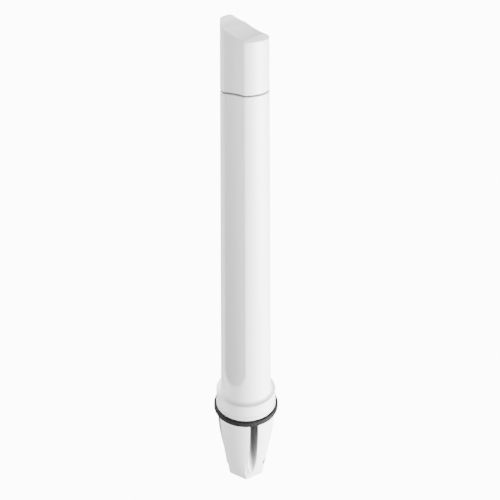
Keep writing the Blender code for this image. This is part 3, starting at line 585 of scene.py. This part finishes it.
def ferrule_outline(z, inset=0.0):
    parts = []
    for middle in FLUTE_ANGLES:
        between = angles_after(middle)
        parts += [flute_path(middle, z, inset), polar(ferrule_radius(between, z, inset), between)]
    outline = np.concatenate(parts)
    return np.column_stack([outline, np.full(len(outline), z)])


def bore_angles():
    """Directions for the rings inside, which keep clear of the flutes on the end faces."""
    wall_end, wall_angle = 0.32, radians(13.8)
    shares = np.linspace(0, 1, FLUTE_POINTS)
    path = np.interp(shares, [0, wall_end, 1 - wall_end, 1],
                     [-FLUTE_WINDOW, -wall_angle, wall_angle, FLUTE_WINDOW])
    parts = []
    for middle in FLUTE_ANGLES:
        parts += [middle + path, angles_after(middle)]
    return np.concatenate(parts)


def ferrule_painted_shade(piece):
    """Painted shade: the flutes are painted darker with their depth below the plain body, soonest
    on the walls that face -Y; a painted shadow lies on the top edge under the gasket, and the lock
    hole is painted dark."""
    co = points_of(piece)
    top = FERRULE_TAPER[0][0] * MM
    angles = np.arctan2(co[:, 1], co[:, 0])
    distance = np.hypot(co[:, 0], co[:, 1])
    middle = FLUTE_ANGLES[0] + np.round((angles - FLUTE_ANGLES[0]) / (pi / 2)) * pi / 2
    off_flute = np.abs(angles - middle)
    width = np.array([ferrule_radius(np.array([angle]), z)[0]
                      for angle, z in zip(angles, np.clip(co[:, 2], 0, top))])
    depth = np.clip(width - distance - 0.4 * MM, 0, None)
    in_flute = (off_flute < radians(12)) & (distance > FLUTE_FLOOR - 0.5 * MM)
    sideways = co[:, 1] * np.cos(middle) - co[:, 0] * np.sin(middle)
    towards_front = np.clip(sqrt(2) * np.cos(middle) * sideways / FLUTE_RADIUS, -1, 1)
    reach = FLUTE_DARKENING * (1 - 0.4 * towards_front)
    # painted shade in the flutes, by depth
    flute = np.where(in_flute, FLUTE_DARKEST * (1 - np.exp(-depth / reach)), 0)
    # painted shadow on the top edge under the gasket
    under_ring = TOP_SHADE * np.exp((co[:, 2] - top) / (1.0 * MM)) * (distance > width - 1 * MM)
    # painted shade in the locking screw's hole
    from_lock = np.hypot(co[:, 1], co[:, 2] - LOCK_Z)
    in_hole = (co[:, 0] > POCKET + 0.2 * MM) & (from_lock < LOCK_HOLE + LOCK_FLARE - 0.05 * MM)
    return np.where(in_hole, LOCK_SHADE, np.maximum(flute, under_ring))


def lock_hole(material, low, mouth):
    """Tool for the locking screw's hole along +X, flared where it leaves the surface."""
    levels = [(LOCK_HOLE, low), (LOCK_HOLE, mouth), (LOCK_HOLE + 3 * MM, mouth + 3 * MM)]
    tool = stack("lock_hole", levels, material, even_angles(48) + 0.01)
    return moved(tool, z=LOCK_Z, turn=Matrix.Rotation(pi / 2, 4, "Y"))


def make_ferrule(material):
    low, high = heights("mounting_ferrule")
    rings = [ferrule_outline(high, TOP_EDGE)]
    rings += [ferrule_outline(high - TOP_EDGE * (1 - cos(t)), TOP_EDGE * (1 - sin(t)))
              for t in edge_turns(4)[1:]]
    rings += [ferrule_outline(z) for z in np.linspace(high - TOP_EDGE, 1 * MM, 80)[1:]]
    rings += [ferrule_outline(low + FOOT_EDGE * (1 - sin(t)), FOOT_EDGE * (1 - cos(t)))
              for t in edge_turns(4)]
    shoulder_low, shoulder_high = SHOULDER_Z
    groove_low, groove_high = CLIP_GROOVE_Z
    inside = [(POCKET + 0.3 * MM, 0.0), (POCKET, 0.3 * MM), (POCKET, 10 * MM),
              (POCKET, shoulder_low), (SHOULDER_BORE, shoulder_low), (SHOULDER_BORE, shoulder_high),
              (JOURNAL_BORE, shoulder_high), (JOURNAL_BORE, 50 * MM), (JOURNAL_BORE, groove_low),
              (CLIP_GROOVE, groove_low), (CLIP_GROOVE, groove_high), (JOURNAL_BORE, groove_high),
              (JOURNAL_BORE, high - 0.4 * MM), (JOURNAL_BORE + 0.4 * MM, high)]
    angles = bore_angles()
    rings += [ring(radius, z, angles) for radius, z in inside]
    ferrule = skin("ferrule_body", rings, material, looped=True)
    boolean(ferrule, lock_hole(material, 10 * MM, LOCK_MOUTH_X))
    # painted shade in the flutes, under the gasket and in the lock hole, stored on the points
    set_painted_shade(ferrule, ferrule_painted_shade(ferrule))
    return place(ferrule, "ferrule", "white_ferrule_plastic", "mounting_ferrule")


# -------- threads, screws and inserts

def thread_radius(angles, z, pitch, minor, major):
    """Distance of a right-hand thread's surface from its axis, with flats on crests and roots."""
    turn = np.mod(z / pitch - angles / (2 * pi), 1.0)
    flank = np.clip((np.abs(2 * turn - 1) - 0.12) / 0.76, 0, 1)
    return minor + (major - minor) * flank


def thread_levels(low, high, pitch, minor, major, angles, per_turn=10):
    count = max(2, round((high - low) / pitch * per_turn))
    return [(thread_radius(angles, z, pitch, minor, major), z)
            for z in np.linspace(low, high, count)]


def hex_radius(angles, half_flats):
    return half_flats / np.cos(np.mod(angles, pi / 3) - pi / 6)


def make_thread_insert(material):
    """Moulded-in sleeve with the 1 inch-14 thread, a countersunk mouth and two holding grooves."""
    low, high = heights("thread_insert")
    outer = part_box("thread_insert")[1].x
    angles = even_angles(144)
    levels = [(np.maximum(radius, THREAD_MAJOR + 0.3 * MM - (z - low)), z)
              for radius, z in thread_levels(low, high, THREAD_PITCH, THREAD_MINOR, THREAD_MAJOR,
                                             angles, 12)]
    levels += [(outer - 0.3 * MM, high), (outer, high - 0.3 * MM)]
    for groove in INSERT_GROOVES_Z:
        levels += [(outer, groove + 1 * MM), (outer - 0.5 * MM, groove + 0.5 * MM),
                   (outer - 0.5 * MM, groove - 0.5 * MM), (outer, groove - 1 * MM)]
    levels += [(outer, low + 0.3 * MM), (outer - 0.3 * MM, low)]
    insert = stack("insert_sleeve", levels, material, angles, looped=True)
    boolean(insert, lock_hole(material, 8 * MM, 30 * MM))
    return place(insert, "ferrule", "insert_brass", "thread_insert")


def socket_levels(half_flats, top, bottom, angles):
    """A hexagonal socket: its chamfered mouth, its walls and its floor."""
    wall = hex_radius(angles, half_flats)
    return [(wall + 0.15 * MM, top), (wall, top - 0.15 * MM), (wall, bottom),
            (wall * 0.4, bottom - 0.3 * MM)]


def make_locking_screw(material):
    """M4 grub screw with a flat point and a 2 mm socket. Its tip is nearest the axis."""
    low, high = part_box("locking_screw")
    length, pitch, minor, major = high.x - low.x, 0.7 * MM, 1.62 * MM, 2.0 * MM
    angles = even_angles(48)
    levels = [(0.8 * MM, 0.0)]
    levels += [(np.minimum(radius, np.minimum(0.9 * MM + z, 1.7 * MM + length - z)), z)
               for radius, z in thread_levels(0.1 * MM, length, pitch, minor, major, angles)]
    levels += socket_levels(1.0 * MM, length, length - 2.2 * MM, angles)
    screw = stack("lock_screw", levels, material, angles)
    moved(screw, x=low.x, z=LOCK_Z, turn=Matrix.Rotation(pi / 2, 4, "Y"))
    return place(screw, "lock", "black_steel", "locking_screw")


def make_socket_screw(node, length, material, spot, upside_down):
    """M2.5 screw with a domed head. The underside of its head is at the spot."""
    pitch, minor, major = 0.45 * MM, 1.0 * MM, 1.25 * MM
    head, height, top = 2.2 * MM, 1.6 * MM, 1.3 * MM
    angles = even_angles(36)
    levels = [(0.5 * MM, -length)]
    levels += [(np.minimum(radius, 0.7 * MM + z + length), z)
               for radius, z in thread_levels(0.1 * MM - length, -0.6 * MM, pitch, minor, major,
                                              angles, 8)]
    levels += [(minor, -0.5 * MM), (minor, -0.1 * MM), (minor + 0.1 * MM, 0.0)]
    levels += [(head - 0.1 * MM, 0.0), (head, 0.1 * MM), (head, 0.9 * MM)]
    levels += [(top + (head - top) * cos(t), 0.9 * MM + (height - 0.9 * MM) * sin(t))
               for t in edge_turns(6)[1:]]
    levels += socket_levels(0.75 * MM, height, 0.7 * MM, angles)
    screw = stack(node + "_m2.5", levels, material, angles)
    moved(screw, *spot, turn=Matrix.Rotation(pi if upside_down else 0.0, 4, "X"))
    return place(screw, "antenna", "stainless_steel", node)


def make_screws(material):
    head = 1.6 * MM
    for node in HUB_SCREWS:
        low, high = heights(node)
        spot = (*axis_of(node), high - head)
        make_socket_screw(node, spot[2] - low, material, spot, False)
    for node in ("plate_screw_1", "plate_screw_2"):
        low, high = heights(node)
        spot = (axis_of(node)[0], 0.0, low + head)
        make_socket_screw(node, high - spot[2], material, spot, True)


def make_retaining_ring(material):
    """Internal circlip: a sprung ring with rounded edges and an eye in each end."""
    low, high = heights("retaining_ring")
    rings = []
    for angle in np.linspace(CLIP_OPENING, 2 * pi - CLIP_OPENING, 150):
        from_end = min(angle, 2 * pi - angle) - CLIP_OPENING
        ease = np.clip((from_end - CLIP_LUG_SPAN) / radians(3) + 1, 0, 1)
        inner = CLIP_LUG + (CLIP_INNER - CLIP_LUG) * ease * ease * (3 - 2 * ease)
        section = rounded([(inner, low), (CLIP_OUTER, low), (CLIP_OUTER, high), (inner, high)],
                          0.15 * MM, 3)
        rings.append(np.array([(r * cos(angle), r * sin(angle), z) for r, z in section]))
    clip = skin("circlip", rings, material)
    for side in (-1, 1):
        angle = side * (CLIP_OPENING + CLIP_LUG_SPAN / 2)
        drill(clip, CLIP_EYE, low, high, CLIP_EYE_CIRCLE * cos(angle),
              CLIP_EYE_CIRCLE * sin(angle), 0.1 * MM)
    return place(clip, "ferrule", "stainless_steel", "retaining_ring")


def make_plain_ring(node, name, inner, outer, edge, slot, material, segments=180, x=0.0):
    """A flat ring as high as its solid, with rounded edges."""
    low, high = heights(node)
    corners = [(inner, low), (outer, low), (outer, high), (inner, high)]
    piece = moved(turned(name, rounded(corners, edge, 3), material, segments), x)
    return place(piece, "antenna", slot, node)


def make_o_ring(node, name, material):
    low, high = heights(node)
    half = (high - low) / 2
    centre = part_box(node)[1].x - half
    section = [(centre + half * cos(t), low + half + half * sin(t)) for t in even_angles(24)]
    return place(turned(name, section, material), "antenna", "black_rubber", node)


def make_swivel_hub(material):
    """The hollow shaft, with its seal groove and blind holes for both sets of screws."""
    low, high = heights("swivel_hub")
    groove_low, groove_high = HUB_GROOVE_Z
    corners = [(HUB_BORE, HUB_RECESS_TOP_Z), (HUB_RECESS, HUB_RECESS_TOP_Z), (HUB_RECESS, low),
               (HUB_JOURNAL, low, 0.5 * MM), (HUB_JOURNAL, groove_low), (HUB_GROOVE, groove_low),
               (HUB_GROOVE, groove_high), (HUB_JOURNAL, groove_high), (HUB_JOURNAL, HUB_STEP_Z),
               (HUB_NECK, HUB_STEP_Z), (HUB_NECK, high), (HUB_BORE, high)]
    hub = turned("hub_shaft", rounded(corners, 0.2 * MM, 3), material)
    for screw in HUB_SCREWS:
        drill(hub, SCREW_HOLE, HUB_HOLE_FLOOR_Z, high + 2 * MM, *axis_of(screw), 0.0)
    for x in (-PLATE_SCREW_X, PLATE_SCREW_X):
        drill(hub, SCREW_HOLE, HUB_RECESS_TOP_Z - 2 * MM, PLATE_HOLE_TOP_Z, x, 0.0, 0.0)
    return place(hub, "antenna", "natural_nylon", "swivel_hub")


# -------- connectors

def make_connector_plate(material):
    low, high = heights("connector_plate")
    radius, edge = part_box("connector_plate")[1].x, 0.3 * MM
    levels = [(radius - edge, low), (radius, low + edge), (radius, high - edge),
              (radius - edge, high)]
    plate = stack("connector_disc", levels, material, even_angles(180))
    for x in (-JACK_X, JACK_X):
        drill(plate, JACK_RADIUS + GAP, low, high, x, 0.0)
    for x in (-PLATE_SCREW_X, PLATE_SCREW_X):
        drill(plate, SCREW_HOLE, low, high, x, 0.0)
    return place(plate, "antenna", "stainless_steel", "connector_plate")


def jack_thread(low, high, angles, end):
    """Levels of the jack's thread, which runs out in a chamfer at the height of its end."""
    return [(np.minimum(radius, JACK_MINOR + abs(z - end)), z)
            for radius, z in thread_levels(low, high, JACK_PITCH, JACK_MINOR, JACK_RADIUS, angles)]


def make_jack_body(letter, x, gold):
    """Threaded barrel with a hexagonal flange, a socket below and a crimp sleeve above."""
    node = f"jack_{letter}_body"
    low, high = heights(node)
    angles = even_angles(60)
    flange_low, flange_high = JACK_FLANGE_Z
    hexagon = hex_radius(angles, JACK_HEX_HALF_FLATS)
    levels = [(JACK_BORE, flange_high - 0.2 * MM), (JACK_BORE, low + 0.3 * MM),
              (JACK_BORE + 0.3 * MM, low)]
    levels += jack_thread(low, flange_low - 0.6 * MM, angles, end=low)
    levels += [(JACK_MINOR, flange_low - 0.5 * MM), (JACK_MINOR, flange_low)]
    levels += [(np.minimum(hexagon, 4.05 * MM), flange_low),
               (np.minimum(hexagon, 4.65 * MM), flange_low + 0.35 * MM), (hexagon, flange_high)]
    levels += jack_thread(flange_high, JACK_BARREL_TOP_Z, angles, end=JACK_BARREL_TOP_Z)
    waist = CRIMP_RADIUS - CRIMP_GROOVE_DEPTH
    groove_low, groove_high = CRIMP_GROOVE_Z
    levels += [(CRIMP_RADIUS, JACK_BARREL_TOP_Z), (CRIMP_RADIUS, groove_low - 0.3 * MM),
               (waist, groove_low), (waist, groove_high), (CRIMP_RADIUS, groove_high + 0.3 * MM),
               (CRIMP_RADIUS, high - 0.15 * MM), (CRIMP_RADIUS - 0.15 * MM, high)]
    jack = moved(stack(f"jack_{letter}_barrel", levels, gold, angles), x)
    return place(jack, "antenna", "gold_plate", node)


def slit_ring(z):
    x, y = 1 * MM, 0.08 * MM
    return np.array([(-x, -y, z), (x, -y, z), (x, y, z), (-x, y, z)])


def make_contact(letter, x, gold):
    """The jack's centre socket, slit crosswise at its mouth."""
    low, high = heights(f"jack_{letter}_contact")
    chamfer = 0.08 * MM
    levels = [(CONTACT_BORE, low + 3 * MM), (CONTACT_BORE, low + chamfer),
              (CONTACT_BORE + chamfer, low), (CONTACT_RADIUS - chamfer, low),
              (CONTACT_RADIUS, low + chamfer), (CONTACT_RADIUS, high - chamfer),
              (CONTACT_RADIUS - chamfer, high)]
    contact = stack(f"jack_{letter}_socket", levels, gold, even_angles(36))
    for turn in (pi / 4, 3 * pi / 4):
        slit = skin("slit", [slit_ring(z) for z in (low - 1 * MM, low + 2.4 * MM)], gold)
        boolean(contact, moved(slit, turn=Matrix.Rotation(turn, 4, "Z")))
    return place(moved(contact, x), "antenna", "gold_plate", f"jack_{letter}_contact")


def make_jack(letter, x, gold, white, steel):
    make_jack_body(letter, x, gold)
    jack, hole = f"jack_{letter}", JACK_RADIUS + GAP
    make_plain_ring(jack + "_insulator", jack + "_dielectric", *INSULATOR_RADII, 0.1 * MM,
                    "white_ptfe", white, 60, x)
    make_contact(letter, x, gold)
    make_plain_ring(jack + "_washer", jack + "_spring_washer", hole, WASHER_RADIUS, 0.12 * MM,
                    "stainless_steel", steel, 72, x)

    low, high = heights(jack + "_nut")
    angles = even_angles(60)
    hexagon = hex_radius(angles, JACK_HEX_HALF_FLATS)
    chamfered = np.minimum(hexagon, JACK_HEX_HALF_FLATS + 0.3 * MM)
    levels = thread_levels(low, high, JACK_PITCH, JACK_RADIUS + GAP / 2, hole, angles)
    levels += [(chamfered, high), (hexagon, high - 0.3 * MM), (hexagon, low + 0.3 * MM),
               (chamfered, low)]
    nut = stack(jack + "_hex_nut", levels, gold, angles, looped=True)
    place(moved(nut, x), "antenna", "gold_plate", jack + "_nut")


# -------- materials

class Finish:
    """A node material. Constants sit on the shader's own sockets; the rest is fed by nodes."""

    def __init__(self, name, roughness, metallic=0.0, specular=0.5):
        self.material = bpy.data.materials.new(name)
        self.material.use_nodes = True
        self.tree = self.material.node_tree
        self.shader = self.tree.nodes["Principled BSDF"]
        self.shader.inputs["Roughness"].default_value = roughness
        self.shader.inputs["Metallic"].default_value = metallic
        self.shader.inputs["Specular IOR Level"].default_value = specular
        self.place = self.node("TexCoord").outputs["Object"]

    def join(self, socket, value):
        if isinstance(value, bpy.types.NodeSocket):
            self.tree.links.new(value, socket)
        else:
            socket.default_value = value

    def node(self, kind, inputs=None, **settings):
        made = self.tree.nodes.new("ShaderNode" + kind)
        for key, value in settings.items():
            setattr(made, key, value)
        for key, value in (inputs or {}).items():
            self.join(made.inputs[key], value)
        return made

    def math(self, operation, first, second=0.0):
        return self.node("Math", {0: first, 1: second}, operation=operation).outputs[0]

    def noise(self, scale, detail=2.0, place=None):
        made = self.node("TexNoise", {"Vector": place or self.place, "Scale": scale,
                                      "Detail": detail})
        return made.outputs["Fac"]

    def spread(self, value, low, high, start=0.3, end=0.7):
        """Bring a value between start and end to one between low and high."""
        made = self.node("MapRange", {"Value": value, "From Min": start, "From Max": end,
                                      "To Min": low, "To Max": high})
        return made.outputs["Result"]

    def mix(self, share, first, second):
        """Blend two colours."""
        return self.node("Mix", {0: share, 6: first, 7: second}, data_type="RGBA").outputs[2]

    def stretched(self, x, y, z):
        return self.node("Mapping", {"Vector": self.place, "Scale": (x, y, z)}).outputs[0]

    def round_axis(self, centre_x=0.0):
        """Coordinates that only change outwards and along an upright axis, for turned work. The
        pieces at -centre_x and +centre_x share them."""
        split = self.node("SeparateXYZ", {0: self.place}).outputs
        x = self.math("SUBTRACT", self.math("ABSOLUTE", split[0]), centre_x)
        squares = self.math("ADD", self.math("MULTIPLY", x, x),
                            self.math("MULTIPLY", split[1], split[1]))
        return self.node("CombineXYZ", {0: self.math("SQRT", squares), 2: split[2]}).outputs[0]

    def colour(self, value):
        self.join(self.shader.inputs["Base Color"], value)

    def roughness(self, value):
        self.join(self.shader.inputs["Roughness"], value)

    def bump(self, height, distance):
        made = self.node("Bump", {"Height": height, "Distance": distance, "Strength": 1.0})
        self.join(self.shader.inputs["Normal"], made.outputs[0])


def grey(value):
    return (value, value, value, 1.0)


def scaled(colour, factor):
    return tuple(min(1.0, channel * factor) for channel in colour[:3]) + (1.0,)


def moulded_plastic(name, colour, roughness, grain):
    """White moulded plastic: a fine eroded grain, uneven gloss and painted shade in its recesses.
    """
    finish = Finish(name, roughness)
    plain = finish.mix(finish.spread(finish.noise(28, 4), 0, 1), scaled(colour, 0.985), colour)
    # painted shade: each point's share of the colour taken away, mixed towards black
    painted_shade = finish.node("Attribute", attribute_name="painted_shade").outputs["Fac"]
    finish.colour(finish.mix(painted_shade, plain, grey(0.0)))
    gloss = finish.math("ADD", finish.spread(finish.noise(45, 3), -0.02, 0.03),
                        finish.spread(finish.noise(900, 2), -0.02, 0.02))
    finish.roughness(finish.math("ADD", roughness, gloss))
    finish.bump(finish.noise(2200, 3), grain)
    return finish.material


def rubber(name, colour, roughness):
    """Matt rubber: a powdery bloom over a slightly pitted surface."""
    finish = Finish(name, roughness, specular=0.12)
    bloom = finish.spread(finish.noise(160, 5), 0, 1)
    finish.colour(finish.mix(bloom, colour, scaled(colour, 1.35)))
    finish.roughness(finish.spread(finish.noise(700, 3), roughness - 0.06, roughness + 0.08))
    finish.bump(finish.noise(1600, 4), 0.00003)
    return finish.material


def waxy_plastic(name, colour, roughness):
    """Nylon or PTFE: cloudy, with soft machining marks."""
    finish = Finish(name, roughness)
    finish.shader.inputs["Subsurface Weight"].default_value = 0.15
    finish.shader.inputs["Subsurface Radius"].default_value = (0.002, 0.002, 0.0015)
    finish.shader.inputs["Subsurface Scale"].default_value = 1.0
    cloud = finish.spread(finish.noise(90, 4), 0, 1)
    finish.colour(finish.mix(cloud, scaled(colour, 0.95), scaled(colour, 1.03)))
    finish.roughness(finish.spread(finish.noise(500, 2), roughness - 0.05, roughness + 0.07))
    finish.bump(finish.noise(1.0, 3, finish.stretched(150, 150, 2600)), 0.00002)
    return finish.material


def turned_metal(name, colour, roughness, centre_x=0.0, tarnish=0.12):
    """Metal off a lathe: fine rings round its axis and a slight cloudy tarnish."""
    finish = Finish(name, roughness, metallic=1.0)
    rings = finish.noise(5200, 2, finish.round_axis(centre_x))
    cloud = finish.spread(finish.noise(220, 4), 0, 1)
    finish.colour(finish.mix(cloud, scaled(colour, 1 - tarnish), colour))
    finish.roughness(finish.math("ADD", finish.spread(cloud, -0.03, 0.05, 0, 1),
                                 finish.spread(rings, roughness - 0.05, roughness + 0.09)))
    finish.bump(rings, 0.00001)
    return finish.material


def laminate(name, colour, roughness):
    """Glass-epoxy board: the weave of the glass cloth shows through the resin."""
    finish = Finish(name, roughness)
    weave = [finish.node("TexWave", {"Vector": finish.place, "Scale": 330.0, "Distortion": 0.6},
                         bands_direction=way).outputs["Fac"] for way in ("X", "Z")]
    cloth = finish.math("MULTIPLY", *weave)
    finish.colour(finish.mix(cloth, scaled(colour, 0.85), scaled(colour, 1.25)))
    finish.roughness(finish.spread(finish.noise(400, 3), roughness - 0.06, roughness + 0.08))
    finish.bump(cloth, 0.00002)
    return finish.material


def foil(name, colour, roughness):
    """Etched copper: rolling marks along the board and patches of oxide."""
    finish = Finish(name, roughness, metallic=1.0)
    marks = finish.noise(1.0, 3, finish.stretched(2400, 2400, 60))
    oxide = finish.spread(finish.noise(130, 5), 0, 1, 0.45, 0.75)
    finish.colour(finish.mix(oxide, colour, scaled(colour, 0.6)))
    finish.roughness(finish.spread(marks, roughness - 0.06, roughness + 0.12))
    finish.bump(marks, 0.000006)
    return finish.material


def fine_grained(name, colour, roughness, scale, depth):
    """Cable jacket or sintered ferrite: an even dark grain."""
    finish = Finish(name, roughness)
    grain = finish.noise(scale, 4)
    finish.colour(finish.mix(finish.spread(grain, 0, 1), colour, scaled(colour, 1.4)))
    finish.roughness(finish.spread(finish.noise(scale / 5, 2), roughness - 0.05, roughness + 0.08))
    finish.bump(grain, depth)
    return finish.material


def make_finishes():
    """One material for each of the record's slots."""
    white = grey(0.8)
    return {
        "white_radome_plastic": moulded_plastic("radome_plastic", white, 0.40, 0.000012),
        "white_ferrule_plastic": moulded_plastic("ferrule_plastic", white, 0.42, 0.00002),
        "black_rubber": rubber("black_rubber", grey(0.013), 0.75),
        "grey_rubber": rubber("grey_rubber", grey(0.12), 0.6),
        "natural_nylon": waxy_plastic("natural_nylon", (0.74, 0.71, 0.62, 1), 0.5),
        "white_ptfe": waxy_plastic("white_ptfe", (0.86, 0.86, 0.84, 1), 0.45),
        "insert_brass": turned_metal("insert_brass", (0.72, 0.55, 0.26, 1), 0.28),
        "black_steel": turned_metal("black_steel", (0.035, 0.035, 0.037, 1), 0.42),
        "stainless_steel": turned_metal("stainless_steel", (0.62, 0.62, 0.63, 1), 0.26),
        "gold_plate": turned_metal("gold_plate", (0.9, 0.68, 0.28, 1), 0.18, JACK_X, 0.05),
        "glass_epoxy": laminate("glass_epoxy", (0.09, 0.26, 0.12, 1), 0.4),
        "copper_foil": foil("copper_foil", (0.78, 0.42, 0.26, 1), 0.3),
        "black_cable_jacket": fine_grained("cable_jacket", grey(0.03), 0.5, 900, 0.00001),
        "ferrite": fine_grained("ferrite", grey(0.09), 0.55, 1500, 0.00003),
    }


def finish_carried_nodes(finishes):
    """The solids that are still shown get the material of their slot."""
    slots = {part["node"]: part["material_slot"] for part in frame["record"]["subparts"]}
    for name, node in frame["nodes"].items():
        if not node.hide_render:
            node.data.materials.clear()
            node.data.materials.append(finishes[slots[name]])


# -------- studio

SOFTBOXES = [("right", 100, -10, 120), ("right_back", 120, -10, 50), ("right_front", 80, -10, 40),
             ("right_low", 120, -35, 24), ("front", -10, 15, 21), ("left_front", -45, -10, 18),
             ("left_low", -60, -35, 14), ("left_back", -120, 15, 65), ("back", 210, 15, 11),
             ("back_high", 210, 50, 36)]  # azimuth and elevation in degrees, power in watts
SOFTBOX_SIZE = 0.8
SOFTBOX_DISTANCE = 1.6
WORLD_STRENGTH = 0.26
BACKDROP_STRENGTH = 12.0


def make_camera():
    """Looks down on the antenna by 29.6 degrees, from 30 degrees to the right of its -Y side."""
    azimuth, tilt = radians(30), radians(29.57)
    distance, aside, height = 600 * MM, 4.3 * MM, 616 * MM
    data = bpy.data.cameras.new("camera")
    data.lens = 53.46
    data.clip_start = 0.01
    camera = bpy.data.objects.new("camera", data)
    camera.location = (distance * sin(azimuth) + aside * cos(azimuth),
                       -distance * cos(azimuth) + aside * sin(azimuth), height)
    camera.rotation_euler = (pi / 2 - tilt, 0, azimuth)
    bpy.context.scene.collection.objects.link(camera)
    bpy.context.scene.camera = camera


def glow_from_inside(name, strength):
    """Glows on the side its normals point to, and can't be seen from the other."""
    material = bpy.data.materials.new(name)
    material.use_nodes = True
    nodes, links = material.node_tree.nodes, material.node_tree.links
    nodes.clear()
    glow = nodes.new("ShaderNodeEmission")
    glow.inputs["Strength"].default_value = strength
    clear = nodes.new("ShaderNodeBsdfTransparent")
    side = nodes.new("ShaderNodeNewGeometry")
    choice = nodes.new("ShaderNodeMixShader")
    output = nodes.new("ShaderNodeOutputMaterial")
    links.new(side.outputs["Backfacing"], choice.inputs[0])
    links.new(glow.outputs[0], choice.inputs[1])
    links.new(clear.outputs[0], choice.inputs[2])
    links.new(choice.outputs[0], output.inputs["Surface"])
    return material


def make_stage():
    """A pale floor and a round backdrop, which only the camera sees."""
    glow = glow_from_inside("studio_white", BACKDROP_STRENGTH)
    half = 3.0
    floor_mesh = bpy.data.meshes.new("studio_floor")
    floor_mesh.from_pydata([(-half, -half, 0), (half, -half, 0), (half, half, 0), (-half, half, 0)],
                           [], [(0, 1, 2, 3)])
    dome_mesh = bpy.data.meshes.new("studio_backdrop")
    bm = bmesh.new()
    bmesh.ops.create_icosphere(bm, subdivisions=4, radius=6.0)
    bmesh.ops.reverse_faces(bm, faces=bm.faces)
    bm.to_mesh(dome_mesh)
    bm.free()
    for mesh in (floor_mesh, dome_mesh):
        mesh.materials.append(glow)
        screen = bpy.data.objects.new(mesh.name, mesh)
        bpy.context.scene.collection.objects.link(screen)
        for ray in ("diffuse", "glossy", "transmission", "shadow"):
            setattr(screen, "visible_" + ray, False)


def make_softbox(name, azimuth, elevation, energy):
    """A square light that faces the middle of the antenna. Azimuth 0 is the -Y side."""
    data = bpy.data.lights.new(name, "AREA")
    data.shape = "SQUARE"
    data.size = SOFTBOX_SIZE
    data.energy = energy
    light = bpy.data.objects.new(name, data)
    target = Vector((0, 0, 0.25))
    a, e = radians(azimuth), radians(elevation)
    offset = Vector((sin(a) * cos(e), -cos(a) * cos(e), sin(e))) * SOFTBOX_DISTANCE
    light.location = target + offset
    light.rotation_euler = offset.to_track_quat("Z", "Y").to_euler()
    light.visible_camera = False
    bpy.context.scene.collection.objects.link(light)


def make_world():
    world = bpy.data.worlds.new("studio_world")
    world.use_nodes = True
    background = world.node_tree.nodes["Background"]
    background.inputs["Color"].default_value = (1, 1, 1, 1)
    background.inputs["Strength"].default_value = WORLD_STRENGTH
    bpy.context.scene.world = world


# -------- assembly

finishes = make_finishes()
radome_white, ferrule_white = finishes["white_radome_plastic"], finishes["white_ferrule_plastic"]
rubber_black, ptfe = finishes["black_rubber"], finishes["white_ptfe"]
steel, gold = finishes["stainless_steel"], finishes["gold_plate"]

make_camera()
make_stage()
make_world()
for softbox in SOFTBOXES:
    make_softbox(*softbox)

make_radome(radome_white)
make_top_cap(radome_white)
make_cap_seal(finishes["grey_rubber"])
make_flange(radome_white)
make_gasket(rubber_black)
make_ferrule(ferrule_white)
make_thread_insert(finishes["insert_brass"])
make_locking_screw(finishes["black_steel"])
make_screws(steel)
make_retaining_ring(steel)
make_o_ring("hub_seal", "hub_o_ring", rubber_black)
make_o_ring("flange_seal", "flange_o_ring", rubber_black)
make_plain_ring("thrust_washer", "thrust_ring", HUB_NECK + GAP, HUB_JOURNAL, 0.12 * MM,
                "white_ptfe", ptfe)
make_swivel_hub(finishes["natural_nylon"])
make_connector_plate(steel)
make_jack("a", -JACK_X, gold, ptfe, steel)
make_jack("b", JACK_X, gold, ptfe, steel)
finish_carried_nodes(finishes)
